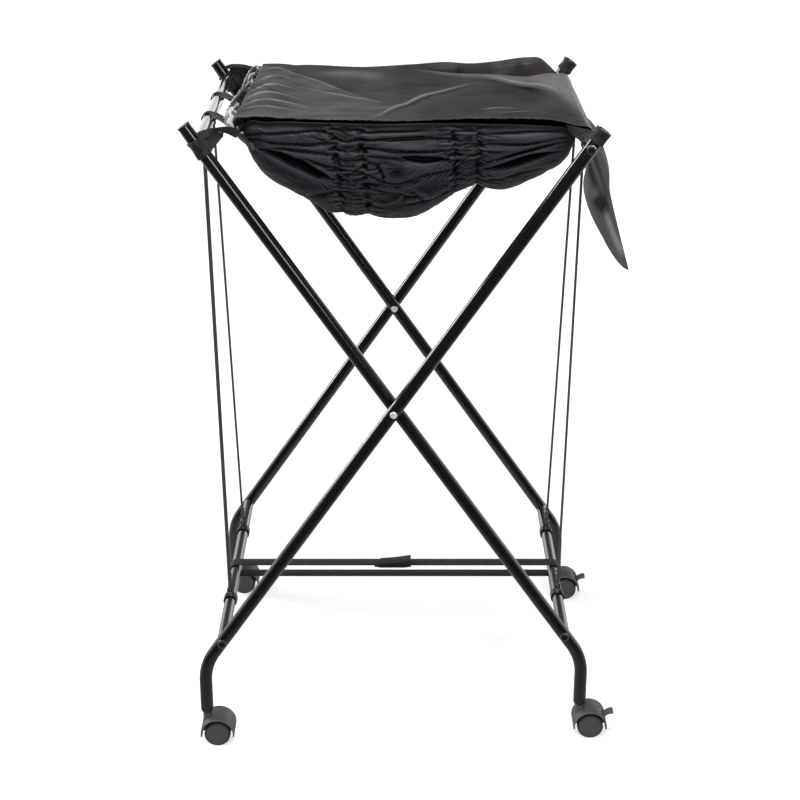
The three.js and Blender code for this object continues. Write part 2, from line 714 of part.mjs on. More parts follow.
function lid() {
  const underside = barTop + FIT_GAP;
  const left = bagLeft - LID_LEFT_OVERHANG;
  const right = TOP_BAR_REACH + BAR_RADIUS + LID_OVERHANG;
  const sheet = new THREE.BoxGeometry(right - left, LID_BACK - LID_FRONT, LID_THICKNESS)
    .translate((right + left) / 2, (LID_BACK + LID_FRONT) / 2, underside + LID_THICKNESS / 2);
  // The flap is drawn in Y and Z, given its thickness along X, then leant out.
  const outline = new THREE.Shape([
    new THREE.Vector2(FLAP_FRONT, 0),
    new THREE.Vector2(FLAP_BACK, 0),
    new THREE.Vector2(FLAP_TIP_Y + 8, -FLAP_DROP),
    new THREE.Vector2(FLAP_TIP_Y, -FLAP_DROP),
  ]);
  const flap = new THREE.ExtrudeGeometry(outline, { depth: LID_THICKNESS, bevelEnabled: false })
    .applyMatrix4(new THREE.Matrix4().set(
      0, 0, 1, 0,
      1, 0, 0, 0,
      0, 1, 0, 0,
      0, 0, 0, 1,
    ));
  const at = flap.getAttribute('position');
  for (let i = 0; i < at.count; i += 1) {
    at.setX(i, at.getX(i) - (at.getZ(i) * FLAP_LEAN) / FLAP_DROP);
  }
  flap.translate(right - LID_THICKNESS, 0, underside + LID_THICKNESS);
  return join(sheet, flap);
}

// ---------------------------------------------------------------- assembly

sorter.add(frame(1, OUTER_LEG_Y, 'outer', 'top_right', 'bottom_left'));
sorter.add(frame(-1, innerLegY, 'inner', 'top_left', 'bottom_right'));

for (const [end, out] of [['front', -1], ['back', 1]]) {
  add(sorter, `pivot_screw_${end}`, pivotScrew(out), 'steel');
  add(sorter, `pivot_nut_${end}`, pivotNut(out), 'steel');
  add(sorter, `end_cap_top_left_${end}`, endCap(-1, out * innerLegY), 'blackPlastic');
  add(
    sorter, `sleeve_top_left_${end}`,
    sleeve(-1, out * innerLegY, LEFT_SLEEVE_FROM, LEFT_SLEEVE_TO), 'webbing',
  );
  add(
    sorter, `sleeve_top_right_${end}`,
    sleeve(1, out * OUTER_LEG_Y, RIGHT_SLEEVE_FROM, RIGHT_SLEEVE_TO), 'webbing',
  );
  sorter.add(caster(`${end}_left`, -footReach, out * OUTER_LEG_Y, false));
  sorter.add(caster(`${end}_right`, footReach, out * innerLegY, true));
}

for (const [name, side, tops, bottoms] of [
  ['left', -1, LEFT_CORD_TOPS, LEFT_CORD_BOTTOMS],
  ['right', 1, RIGHT_CORD_TOPS, RIGHT_CORD_BOTTOMS],
]) {
  ['front', 'back'].forEach((end, i) => {
    add(sorter, `cord_${name}_${end}`, cord(side, tops[i], bottoms[i]), 'elastic');
    add(
      sorter, `clip_${name}_${end}`,
      clip(side * BOTTOM_BAR_REACH, bottoms[i]), 'blackPlastic',
    );
  });
}
add(sorter, 'strap', strap(), 'webbing');
add(sorter, 'bag', bag(), 'nylon');
add(sorter, 'lid', lid(), 'satin');

// The middle of the footprint, on the floor, becomes the origin.
sorter.updateMatrixWorld(true);
const box = new THREE.Box3().setFromObject(sorter, true);
sorter.position.set(-(box.min.x + box.max.x) / 2, -(box.min.y + box.max.y) / 2, -box.min.z);

export default sorter;
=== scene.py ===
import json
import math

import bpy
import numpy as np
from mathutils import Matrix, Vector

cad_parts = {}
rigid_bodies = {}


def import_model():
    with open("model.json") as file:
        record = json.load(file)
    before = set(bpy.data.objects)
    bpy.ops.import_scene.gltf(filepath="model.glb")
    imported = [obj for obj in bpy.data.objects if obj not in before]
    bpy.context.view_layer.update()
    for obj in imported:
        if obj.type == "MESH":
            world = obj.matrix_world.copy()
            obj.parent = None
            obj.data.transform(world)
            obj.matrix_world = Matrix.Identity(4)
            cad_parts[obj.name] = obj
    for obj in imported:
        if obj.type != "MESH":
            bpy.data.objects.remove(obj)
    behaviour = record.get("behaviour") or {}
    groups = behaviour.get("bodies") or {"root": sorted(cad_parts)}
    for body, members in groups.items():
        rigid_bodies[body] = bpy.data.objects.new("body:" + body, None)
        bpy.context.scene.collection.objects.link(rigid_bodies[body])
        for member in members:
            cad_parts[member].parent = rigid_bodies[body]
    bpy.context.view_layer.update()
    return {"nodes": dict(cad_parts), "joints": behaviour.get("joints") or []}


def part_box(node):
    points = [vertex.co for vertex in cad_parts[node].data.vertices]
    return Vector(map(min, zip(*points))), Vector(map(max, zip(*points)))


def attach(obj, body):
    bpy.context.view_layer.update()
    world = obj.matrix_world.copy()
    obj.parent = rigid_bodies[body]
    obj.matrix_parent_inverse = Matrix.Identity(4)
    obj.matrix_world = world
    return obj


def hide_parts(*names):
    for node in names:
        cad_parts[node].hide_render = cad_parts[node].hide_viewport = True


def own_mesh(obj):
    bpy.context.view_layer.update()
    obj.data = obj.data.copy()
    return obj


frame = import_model()

# Folding laundry sorter on casters, in metres: +X right, +Y back, +Z up, the floor at z = 0.
# Gloss black legs cross on pivot screws, bright crossbars join them, a gathered nylon bag
# hangs between the top crossbars under a loose satin lid, and elastic cords and a webbing
# strap run to the bottom crossbars.

TAU = 2 * math.pi
QUARTER_TURN = math.pi / 2
Y_AXIS = np.array([0.0, 1.0, 0.0])
scene_items = bpy.context.scene.collection.objects

# ------------------------------------------------------------------ camera

eye = bpy.data.cameras.new("eye")
eye.lens = 78.0
eye.sensor_width = 36.0
eye.shift_y = -0.02167
eye.clip_end = 60
camera = bpy.data.objects.new("camera", eye)
camera.location = (-0.01044, -2.3643, 1.3880)
camera.rotation_euler = (math.radians(68.591), 0, 0)
scene_items.link(camera)
bpy.context.scene.camera = camera
bpy.context.scene.view_settings.view_transform = "Standard"

# ------------------------------------------------------------------ sizes

LEG_ANGLE = math.radians(55.3)  # from the floor
LEG_RADIUS = 0.009
LEG_BORE = 0.0078
FOOT_BEND = 0.080
SWAGE_LENGTH = 0.005  # rounded-in lower end of a leg
SWAGE_RADIUS = 0.007
BAR_RADIUS = 0.008
FIT_GAP = 0.0003
SCREW_RADIUS = 0.003
HEAD_RADIUS = 0.0049
WHEEL_RADIUS = 0.0185
WHEEL_WIDTH = 0.0124
WHEEL_GAP = 0.0068  # middle of a caster to the inner face of a wheel
HOOD_INNER = 0.022
HOOD_OUTER = 0.024
HOOD_WIDTH = 0.040
HOOD_SKIRT = math.asin(0.0036 / HOOD_OUTER)
NECK_RADIUS = 0.006
STEM_OFFSET = 0.015  # caster's stem to its axle
CORD_RADIUS = 0.0015
STRAP_WIDTH = 0.020
STRAP_THICKNESS = 0.0016
TAPE_THICKNESS = 0.0014
SLEEVE_WALL = 0.0014

# ------------------------------------------------------------------ places, from the frame

joint_at = {j["name"]: np.array(j["pos_m"], float) for j in frame["joints"]}
pivot = joint_at["frame_fold"]
bar_at = {
    "top_left": joint_at["bag_hang"],
    "top_right": joint_at["right_cords_hang"],
    "bottom_left": joint_at["left_clips_turn"],
    "bottom_right": joint_at["right_clips_turn"],
}
ENDS = {"front": -1, "back": 1}
SIDES = {"left": -1, "right": 1}


def box_of(node):
    """Lowest and highest corner of a CAD node, as arrays."""
    low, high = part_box(node)
    return np.array(low), np.array(high)


outer_leg_y = abs(joint_at["swivel_front_left"][1])
inner_leg_y = abs(joint_at["swivel_front_right"][1])
foot_reach = pivot[0] - joint_at["swivel_front_left"][0]
foot_end = box_of("leg_outer_front")[0][2]
slope = math.tan(LEG_ANGLE)
leg_top_reach = box_of("leg_outer_front")[1][0] - pivot[0] - LEG_RADIUS * math.sin(LEG_ANGLE)
# Each crossbar: its body, its legs' distance from the middle, and the side its legs rise to.
CROSSBARS = {
    "top_right": ("outer_frame", outer_leg_y, 1),
    "bottom_left": ("outer_frame", outer_leg_y, 1),
    "top_left": ("inner_frame", inner_leg_y, -1),
    "bottom_right": ("inner_frame", inner_leg_y, -1),
}

# ------------------------------------------------------------------ meshes


def clamped(values):
    return np.clip(values, 0, 1)


def eased(t):
    """Smooth step from 0 to 1."""
    return t * t * (3 - 2 * t)


def run_of(steps):
    """Distance at each point from the steps between them."""
    return np.concatenate([[0], np.cumsum(steps)])


def patch(points, around=False, along=False, poles=False, uv=None):
    """Quads over a grid of points (rows, columns, 3).

    around joins the last column to the first, along the last row to the first, and poles
    close the end rows with a fan about their middles. uv is a pair of arrays, the distance
    down the rows and across the columns, in metres; a joined side has one distance more
    than it has rows or columns."""
    rows, cols = points.shape[:2]
    index = np.arange(rows * cols).reshape(rows, cols)
    if around:
        index = np.concatenate([index, index[:, :1]], axis=1)
    if along:
        index = np.concatenate([index, index[:1]], axis=0)
    down, across = uv if uv else (np.arange(n) * 0.01 for n in index.shape)
    place = np.stack(
        np.broadcast_arrays(np.asarray(across)[None, :], np.asarray(down)[:, None]), -1,
    )

    def corners(grid):
        return np.stack([grid[:-1, :-1], grid[:-1, 1:], grid[1:, 1:], grid[1:, :-1]], 2)

    quads = corners(index).reshape(-1, 4)
    quad_uv = corners(place).reshape(-1, 4, 2)
    flat = points.reshape(-1, 3)
    fans, fan_uv = [np.zeros((0, 3), int)], [np.zeros((0, 3, 2))]
    for end in (0, -1) if poles else ():
        flat = np.concatenate([flat, points[end].mean(axis=0)[None]])
        ring, tip = index[end], len(flat) - 1
        first, second = (ring[1:], ring[:-1]) if end == 0 else (ring[:-1], ring[1:])
        fans.append(np.stack([first, second, np.full(len(first), tip)], 1))
        fan_uv.append(np.zeros((len(first), 3, 2)) + place[end, :-1, None])
    return flat, quads, np.concatenate(fans), quad_uv, np.concatenate(fan_uv)


def turned_out(shell):
    """The same closed shell with its faces pointing out: its enclosed volume is positive."""
    points, quads, fans, quad_uv, fan_uv = shell
    faces = np.concatenate([quads[:, :3], quads[:, [0, 2, 3]], fans])
    a, b, c = (points[faces[:, k]] - points.mean(axis=0) for k in range(3))
    if (a * np.cross(b, c)).sum() > 0:
        return shell
    return points, quads[:, ::-1], fans[:, ::-1], quad_uv[:, ::-1], fan_uv[:, ::-1]


def make(name, shells, finish, body, stands_for=None, crease=35, closed=True, slot=None):
    """One mesh piece from patches: shaded smooth but for creases above that many degrees. It
    stands for the CAD node of its name, if there is one."""
    shells = [turned_out(s) if closed else s for s in shells]
    starts = np.cumsum([0] + [len(s[0]) for s in shells])[:-1]
    points = np.concatenate([s[0] for s in shells])
    quads, fans = (
        np.concatenate([s[k] + at for s, at in zip(shells, starts)]) for k in (1, 2)
    )
    uvs = np.concatenate([s[k].reshape(-1, 2) for k in (3, 4) for s in shells])
    mesh = bpy.data.meshes.new(name)
    mesh.vertices.add(len(points))
    mesh.vertices.foreach_set("co", points.astype(np.float32).ravel())
    loops = np.concatenate([quads.ravel(), fans.ravel()]).astype(np.int32)
    sizes = np.concatenate([np.full(len(quads), 4), np.full(len(fans), 3)])
    mesh.loops.add(len(loops))
    mesh.loops.foreach_set("vertex_index", loops)
    mesh.polygons.add(len(sizes))
    mesh.polygons.foreach_set("loop_start", (np.cumsum(sizes) - sizes).astype(np.int32))
    mesh.uv_layers.new(name="cloth").uv.foreach_set("vector", uvs.astype(np.float32).ravel())
    mesh.update(calc_edges=True)
    mesh.validate()
    mesh.shade_smooth()
    mesh.set_sharp_from_angle(angle=math.radians(crease))
    mesh.materials.append(finish)
    piece = bpy.data.objects.new(name, mesh)
    scene_items.link(piece)
    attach(piece, body)
    if stands_for or name in frame["nodes"]:
        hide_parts(stands_for or name)
    return piece


def unit(v):
    return v / np.linalg.norm(v, axis=-1, keepdims=True)


def steps_round(count):
    """Angles of equal steps round a circle."""
    return np.arange(count) / count * TAU


def circle(count):
    """Cosines and sines of equal steps round a circle."""
    turn = steps_round(count)
    return np.cos(turn), np.sin(turn)


def spokes_at(turn):
    """Unit vectors square to Y, at angles from +X up towards +Z."""
    return np.stack([np.cos(turn), 0 * turn, np.sin(turn)], 1)


def curved(a, b, c, t):
    """Quadratic curve from a to c that leaves and arrives in line with b."""
    return (1 - t) ** 2 * a + 2 * t * (1 - t) * b + t**2 * c


def rounded(corners, radius, steps=4, closed=False):
    """Outline with its corners rounded: each gives way to the quadratic curve that leaves and
    meets the sides at that distance from the corner."""
    corners = np.array(corners, float)
    t = np.linspace(0, 1, steps + 1)[:, None]
    out = []
    for i, corner in enumerate(corners):
        if not closed and i in (0, len(corners) - 1):
            out.append(corner[None])
            continue
        before, after = corners[i - 1] - corner, corners[(i + 1) % len(corners)] - corner
        a, b = (
            corner + unit(way) * min(radius, np.linalg.norm(way) / 2) for way in (before, after)
        )
        out.append(curved(a, corner, b, t))
    return np.concatenate(out)


def turned(profile, centre, axis, sides=40, hollow=False):
    """Turned piece: pairs (distance along the axis, radius), swept round the axis through centre.
    A hollow one has a profile that closes on itself; any other is closed at both ends."""
    profile, axis = np.array(profile, float), unit(np.array(axis, float))
    side = unit(np.cross(axis, [0.31, 0.52, 0.79]))
    c, s = circle(sides)
    spokes = c[:, None] * side + s[:, None] * np.cross(axis, side)
    points = np.array(centre, float) + profile[:, None, :1] * axis + profile[:, None, 1:] * spokes
    down = run_of(np.linalg.norm(np.diff(profile, axis=0), axis=1))
    if hollow:
        down = np.append(down, down[-1] + np.linalg.norm(profile[0] - profile[-1]))
    around = np.arange(sides + 1) / sides * TAU * profile[:, 1].max()
    return patch(points, around=True, along=hollow, poles=not hollow, uv=(down, around))


def pin(length, radius, lead, chamfer):
    """Profile of a pin from end to end, with its edges taken off."""
    half = length / 2
    return [
        (-half, radius - chamfer), (lead - half, radius), (half - lead, radius),
        (half, radius - chamfer),
    ]


def carried(outline, centres, across, up, scale=1.0, ring=False):
    """Closed outline (pairs) carried along a path: centre + u * across + v * up at each step,
    u and v scaled there. ring joins the path's ends."""
    outline = np.array(outline, float)
    across, up = (np.broadcast_to(way, centres.shape) for way in (across, up))
    scale = np.broadcast_to(np.asarray(scale, float).reshape(-1, 1, 1), (len(centres), 1, 1))
    points = centres[:, None] + scale * (
        outline[None, :, :1] * across[:, None] + outline[None, :, 1:] * up[:, None]
    )
    down = run_of(np.linalg.norm(np.diff(centres, axis=0), axis=1))
    if ring:
        down = np.append(down, down[-1] + np.linalg.norm(centres[0] - centres[-1]))
    around = run_of(np.linalg.norm(np.diff(outline, axis=0, append=outline[:1]), axis=1))
    return patch(points, around=True, along=ring, poles=not ring, uv=(down, around))


def tangents(path):
    """Unit directions along a path of points."""
    return unit(np.gradient(path, axis=0))


def rod(path, radius, sides=10, reference=Y_AXIS, oval=(1.0, 1.0)):
    """Round cord along a path. Its section is held square to the path by a reference
    direction that the path never follows, and oval stretches it across and along that."""
    along = tangents(path)
    across = unit(np.cross(along, np.array(reference, float)))
    c, s = circle(sides)
    outline = np.stack([c * oval[0], s * oval[1]], 1) * radius
    return carried(outline, path, across, np.cross(across, along))


def smooth_path(points, count):
    """Catmull-Rom curve through given points, at count even steps of its parameter."""
    p = np.array(points, float)
    p = np.concatenate([2 * p[:1] - p[1:2], p, 2 * p[-1:] - p[-2:-1]])
    t = np.linspace(0, len(p) - 3 - 1e-9, count)
    i = t.astype(int)
    f = (t - i)[:, None]
    a, b, c, d = p[i], p[i + 1], p[i + 2], p[i + 3]
    return 0.5 * (
        2 * b + (c - a) * f + (2 * a - 5 * b + 4 * c - d) * f**2 + (3 * b - a - 3 * c + d) * f**3
    )


def prism(outline, width, edge, centre):
    """Plate with rounded edges: an outline in X and Z, as thick as width along Y. Towards
    each face it draws in by edge, on a quarter circle."""
    outline = np.array(outline, float)
    x, z = outline.T
    ahead = unit(np.roll(outline, -1, axis=0) - np.roll(outline, 1, axis=0))
    area = (x * np.roll(z, -1) - z * np.roll(x, -1)).sum()
    outward = np.stack([ahead[:, 1], -ahead[:, 0]], 1) * np.sign(area)
    quarter = np.linspace(0, QUARTER_TURN, 4)
    inset = edge * (1 - np.sin(quarter))
    depth = edge * (1 - np.cos(quarter)) - width / 2
    inset, depth = np.concatenate([inset, inset[::-1]]), np.concatenate([depth, -depth[::-1]])
    flat = outline[None] - inset[:, None, None] * outward[None]
    points = np.stack([flat[..., 0], depth[:, None] + 0 * flat[..., 0], flat[..., 1]], -1)
    return patch(points + np.array(centre, float), around=True, poles=True)


def rounded_box(width, depth, corner):
    """Outline of a rectangle about the origin with rounded corners."""
    w, d = width / 2, depth / 2
    return rounded([(-w, -d), (w, -d), (w, d), (-w, d)], corner, 3, closed=True)


def tape_section(width, thickness):
    return rounded_box(width, thickness, thickness * 0.45)


# ------------------------------------------------------------------ materials


def linear(hex_code):
    """sRGB hex colour as linear RGBA."""
    c = np.array([int(hex_code[i : i + 2], 16) for i in (0, 2, 4)]) / 255
    c = np.where(c <= 0.04045, c / 12.92, ((c + 0.055) / 1.055) ** 2.4)
    return (*c.tolist(), 1.0)


def add(tree, kind, sockets=(), **settings):
    """Adds a shader node: settings are its own values. sockets are input values, outputs that
    feed them, or nodes whose first output in use does; a list goes in the inputs' order, so
    that of a MapRange is its value, its two From limits and its two To limits."""
    made = tree.nodes.new("ShaderNode" + kind)
    for name, value in settings.items():
        setattr(made, name, value)
    for name, value in sockets.items() if isinstance(sockets, dict) else enumerate(sockets):
        if isinstance(value, bpy.types.Node):
            value = next(output for output in value.outputs if output.enabled)
        if isinstance(value, bpy.types.NodeSocket):
            tree.links.new(value, made.inputs[name])
        else:
            made.inputs[name].default_value = value
    return made


def material(name, slot, build, *look):
    """A node material: build(tree, *look) returns its shader. The slot is not used."""
    made = bpy.data.materials.new(name)
    made.use_nodes = True
    tree = made.node_tree
    tree.nodes.clear()
    add(tree, "OutputMaterial", {"Surface": build(tree, *look)})
    return made


def bands(spacing_mm):
    """Scale at which a wave texture repeats every so many millimetres."""
    return TAU / 20 / (spacing_mm / 1000)


def gloss_powder_coat(tree):
    """Gloss black powder coat on steel: a deep black with sharp reflections, bent a little by
    orange peel about 4 mm across."""
    at = add(tree, "TexCoord").outputs["Object"]
    peel = add(tree, "TexNoise", {"Vector": at, "Scale": 160.0, "Detail": 0.0})
    bump = add(tree, "Bump", {"Height": peel, "Strength": 0.003, "Distance": 0.0004})
    haze = add(tree, "TexNoise", {"Vector": at, "Scale": 40.0, "Detail": 3.0})
    rough = add(tree, "MapRange", [haze, 0.3, 0.7, 0.17, 0.23])
    return add(tree, "BsdfPrincipled", {
        "Base Color": linear("100e0e"), "Roughness": rough, "Specular IOR Level": 0.7,
        "Normal": bump, "Coat Weight": 0.8, "Coat Roughness": 0.09,
    })


def drawn_zinc(tree, colour, low, high):
    """Zinc plate on drawn tube: metallic grey with faint drawing lines along Y, and clouds
    between two roughnesses."""
    at = add(tree, "TexCoord").outputs["Object"]
    stretch = add(tree, "Mapping", {"Vector": at, "Scale": (1.0, 0.03, 1.0)})
    lines = add(tree, "TexNoise", {"Vector": stretch, "Scale": 2200.0, "Detail": 2.0})
    bump = add(tree, "Bump", {"Height": lines, "Strength": 0.02, "Distance": 0.0002})
    clouds = add(tree, "TexNoise", {"Vector": at, "Scale": 60.0, "Detail": 4.0})
    rough = add(tree, "MapRange", [clouds, 0.3, 0.7, low, high])
    return add(tree, "BsdfPrincipled", {
        "Base Color": linear(colour), "Metallic": 1.0, "Roughness": rough, "Normal": bump,
    })


def specked_steel(tree, scale, dark, light, metallic, roughness):
    """Black-oxide or browned steel: half gloss, with fine brighter specks of wear."""
    at = add(tree, "TexCoord").outputs["Object"]
    specks = add(tree, "TexNoise", {"Vector": at, "Scale": scale, "Detail": 3.0})
    tone = add(
        tree, "Mix", {"Factor": specks, "A": linear(dark), "B": linear(light)}, data_type="RGBA",
    )
    return add(tree, "BsdfPrincipled", {
        "Base Color": tone, "Metallic": metallic, "Roughness": roughness,
    })


def zinc_screw(tree):
    """Zinc-plated screw head: bright, with turning marks."""
    at = add(tree, "TexCoord").outputs["Object"]
    marks = add(tree, "TexNoise", {"Vector": at, "Scale": 2500.0, "Detail": 2.0})
    bump = add(tree, "Bump", {"Height": marks, "Strength": 0.15, "Distance": 0.0002})
    return add(tree, "BsdfPrincipled", {
        "Base Color": linear("eeeeec"), "Metallic": 0.55, "Roughness": 0.42, "Normal": bump,
    })


def moulded(tree, colour, roughness, grain_mm, strength):
    """Moulded plastic: an even colour with spark-eroded grain of that size in its skin."""
    at = add(tree, "TexCoord").outputs["Object"]
    grain = add(tree, "TexNoise", {"Vector": at, "Scale": 1000.0 / grain_mm, "Detail": 2.0})
    bump = add(
        tree, "Bump", {"Height": grain, "Strength": strength, "Distance": grain_mm / 1000},
    )
    cloud = add(tree, "TexNoise", {"Vector": at, "Scale": 90.0, "Detail": 3.0})
    rough = add(tree, "MapRange", [cloud, 0.3, 0.7, roughness - 0.05, roughness + 0.05])
    return add(tree, "BsdfPrincipled", {
        "Base Color": linear(colour), "Roughness": rough, "Normal": bump,
    })


def webbing(tree):
    """Woven polypropylene webbing: ribs 1.4 mm apart across the tape with warp threads between
    them, black with a greyish bloom on the raised threads."""
    at = add(tree, "UVMap", uv_map="cloth")
    ribs, threads = (
        add(
            tree, "TexWave", {"Vector": at, "Scale": bands(spacing_mm)},
            wave_type="BANDS", bands_direction=way,
        )
        for spacing_mm, way in ((1.4, "Y"), (1.1, "X"))
    )
    weave = add(tree, "Math", [ribs.outputs["Fac"], threads.outputs["Fac"]], operation="MULTIPLY")
    fuzz = add(tree, "TexNoise", {"Vector": at, "Scale": 900.0, "Detail": 3.0})
    height = add(tree, "Math", [weave, fuzz], operation="ADD")
    bump = add(tree, "Bump", {"Height": height, "Strength": 0.55, "Distance": 0.0005})
    tone = add(
        tree, "Mix", {"Factor": weave, "A": linear("090809"), "B": linear("1d1b1d")},
        data_type="RGBA",
    )
    return add(tree, "BsdfPrincipled", {
        "Base Color": tone, "Roughness": 0.62, "Normal": bump,
        "Sheen Weight": 0.12, "Sheen Roughness": 0.4,
    })


def braided_elastic(tree):
    """Braided sheath of an elastic cord: two helices of 0.8 mm yarns, drawn 1.2 mm apart so
    that they show, brown-black."""
    at = add(tree, "UVMap", uv_map="cloth")
    helices = []
    for lean in (1, -1):
        turn = add(tree, "Mapping", {"Vector": at, "Rotation": (0.0, 0.0, lean * math.radians(35))})
        helices.append(add(
            tree, "TexWave", {"Vector": turn, "Scale": bands(1.2)},
            wave_type="BANDS", bands_direction="Y",
        ).outputs["Fac"])
    yarns = add(tree, "Math", helices, operation="MAXIMUM")
    bump = add(tree, "Bump", {"Height": yarns, "Strength": 0.5, "Distance": 0.0003})
    tone = add(
        tree, "Mix", {"Factor": yarns, "A": linear("1c1718"), "B": linear("453a3b")},
        data_type="RGBA",
    )
    return add(tree, "BsdfPrincipled", {
        "Base Color": tone, "Roughness": 0.6, "Normal": bump,
        "Sheen Weight": 0.2, "Sheen Roughness": 0.4,
    })


powder_coat = material("gloss_black_powder_coat", "powder_coat", gloss_powder_coat)
zinc_plate = material("bright_zinc_plate", "zinc_plate", drawn_zinc, "e2e3e6", 0.10, 0.16)
# The bottom crossbars are the same zinc, painted darker as shade.
zinc_painted_darker = material("dulled_zinc_plate", "zinc_plate", drawn_zinc, "9a9b9f", 0.06, 0.10)
screw_black = material(
    "black_oxide_steel", "black_screw", specked_steel, 1500.0, "1a1a1c", "303033", 0.7, 0.32,
)
washer_steel = material(
    "browned_steel", "black_screw", specked_steel, 1100.0, "7c7874", "c2bebb", 0.9, 0.34,
)
screw_zinc = material("zinc_plated_screw", "pivot_steel", zinc_screw)
axle_steel = material("drawn_steel_pin", "axle_steel", zinc_screw)
cap_plastic = material(
    "gloss_moulded_polypropylene", "cap_plastic", moulded, "141416", 0.22, 0.5, 0.03,
)
hood_plastic = material("moulded_black_nylon", "caster_plastic", moulded, "565457", 0.40, 0.5, 0.12)
wheel_tread = material("moulded_dark_polyamide", "wheel_plastic", moulded, "2c2a2e", 0.5, 0.6, 0.15)
wheel_plastic = material(
    "moulded_grey_polyamide", "wheel_plastic", moulded, "414045", 0.6, 0.6, 0.18,
)
clip_plastic = material("moulded_black_acetal", "clip_plastic", moulded, "1b1b1d", 0.38, 0.4, 0.06)
nylon_washer = material("natural_nylon", "wheel_plastic", moulded, "cfcfc8", 0.45, 0.4, 0.04)
webbing_tape = material("woven_polypropylene_webbing", "webbing", webbing)
elastic_braid = material("braided_elastic", "elastic_cord", braided_elastic)

# ------------------------------------------------------------------ legs

foot_turn = QUARTER_TURN - LEG_ANGLE
bend_rise = FOOT_BEND * math.tan(foot_turn / 2)
bend_length = FOOT_BEND * foot_turn
leg_straight = (leg_top_reach + foot_reach) / math.cos(LEG_ANGLE) - bend_rise
corner_z = pivot[2] - foot_reach * slope
leg_length = leg_straight + bend_length + corner_z - bend_rise - foot_end


def leg_direction(side):
    """Unit vector down the straight run of a leg whose top is at side times +X."""
    return np.array([-side * math.cos(LEG_ANGLE), 0, -math.sin(LEG_ANGLE)])


def leg_top(side, y):
    return np.array([pivot[0] + side * leg_top_reach, y, pivot[2] + leg_top_reach * slope])


def leg_line(side, y, s):
    """Centre line at distances s from the upper end: straight, then an arc, then upright."""
    straight = np.minimum(s, leg_straight)
    angle = LEG_ANGLE + np.clip((s - leg_straight) / FOOT_BEND, 0, foot_turn)
    rest = np.maximum(s - leg_straight - bend_length, 0)
    level, steep = math.cos(LEG_ANGLE), math.sin(LEG_ANGLE)
    out = straight * level + FOOT_BEND * (np.sin(angle) - steep)
    down = straight * steep - FOOT_BEND * (np.cos(angle) - level) + rest
    top = leg_top(side, y)
    centres = np.stack([top[0] - side * out, np.full_like(out, y), top[2] - down], 1)
    return centres, np.stack([-side * np.cos(angle), 0 * angle, -np.sin(angle)], 1)


def leg(name, side, y, body):
    """Bent tube with a rolled upper lip and a lower end drawn in on a quarter ellipse:
    pairs (distance, radius) go down the outside and back up the bore."""
    lip = (LEG_RADIUS - LEG_BORE) / 2
    quarter = np.linspace(0, QUARTER_TURN, 6)
    runs = np.concatenate([
        np.linspace(0.02, leg_straight, 12),
        leg_straight + FOOT_BEND * np.linspace(0.05, foot_turn, 14),
    ])
    swage = leg_length - SWAGE_LENGTH + SWAGE_LENGTH * np.sin(quarter)
    drawn = SWAGE_RADIUS + (LEG_RADIUS - SWAGE_RADIUS) * np.cos(quarter)
    profile = np.concatenate([
        np.stack([lip * (1 - np.sin(quarter)), LEG_RADIUS - lip * (1 - np.cos(quarter))], 1),
        np.stack([runs, np.full_like(runs, LEG_RADIUS)], 1),
        np.stack([swage, drawn], 1),
        [[leg_length, NECK_RADIUS * 0.9], [leg_length - SWAGE_LENGTH, LEG_BORE]],
        np.stack([runs[::-1], np.full_like(runs, LEG_BORE)], 1),
        [[lip, LEG_BORE], [0, LEG_BORE + lip]],
    ])
    centres, along = leg_line(side, y, profile[:, 0])
    across = np.broadcast_to(Y_AXIS, along.shape)
    c, s = circle(40)
    spokes = (
        c[None, :, None] * across[:, None] + s[None, :, None] * np.cross(across, along)[:, None]
    )
    points = centres[:, None] + profile[:, 1, None, None] * spokes
    make(name, [patch(points, around=True, along=True)], powder_coat, body)


for end, out in ENDS.items():
    leg(f"leg_outer_{end}", 1, out * outer_leg_y, "outer_frame")
    leg(f"leg_inner_{end}", -1, out * inner_leg_y, "inner_frame")

# ------------------------------------------------------------------ crossbars, screws and nuts


def crossbar(place, body, leg_y, side):
    """Tube along Y, coped to the legs it meets: at a distance d beside a leg's axis its end
    lies sqrt((leg radius + gap)^2 - d^2) short of that axis."""
    offset = BAR_RADIUS * spokes_at(steps_round(64))
    beside = np.linalg.norm(np.cross(offset, leg_direction(side)), axis=1)
    end = leg_y - np.sqrt((LEG_RADIUS + FIT_GAP) ** 2 - beside**2)
    share = np.linspace(-1, 1, 41)
    points = bar_at[place] + offset[None] + 0 * share[:, None, None]
    points[..., 1] = share[:, None] * end[None]
    # The bottom bars take the darker copy of the zinc, as painted shade.
    finish = zinc_painted_darker if place.startswith("bottom") else zinc_plate
    make(f"crossbar_{place}", [patch(points, around=True, poles=True)], finish, body)


def headed_screw(name, at, out, body, finish, height, recess, depth, reach):
    """Screw along Y with its head outwards. The rows are star-shaped outlines round the axis:
    the recess, whose radius is a function of the angle, then a button head, then the shank."""
    turn = steps_round(96)
    c, s = np.cos(turn), np.sin(turn)
    flat = recess(turn)
    rim, floor, edge = 0.62 * HEAD_RADIUS, height - depth, 0.0006
    rows = [
        (0.3 * flat, floor), (0.97 * flat, floor), (flat, floor + 0.00008),
        (flat, height - 0.00012), (1.05 * flat, height), (rim, height),
    ]
    rows += [
        (rim + (HEAD_RADIUS - rim) * math.sin(t), edge + (height - edge) * math.cos(t))
        for t in np.linspace(0, QUARTER_TURN, 9)[1:]
    ]
    rows += [(HEAD_RADIUS - 0.0002, 0.0), (SCREW_RADIUS, 0.0), (SCREW_RADIUS, -reach)]
    points = np.stack([np.stack([r * c, np.full_like(turn, y), r * s], 1) for r, y in rows])
    points[..., 1] *= out
    make(name, [patch(points + at, around=True, poles=True)], finish, body, crease=28)


def hexagon(turn):
    """Distance to the flats of a 4 mm hexagon."""
    return 0.002 / np.cos((turn % (TAU / 6)) - TAU / 12)


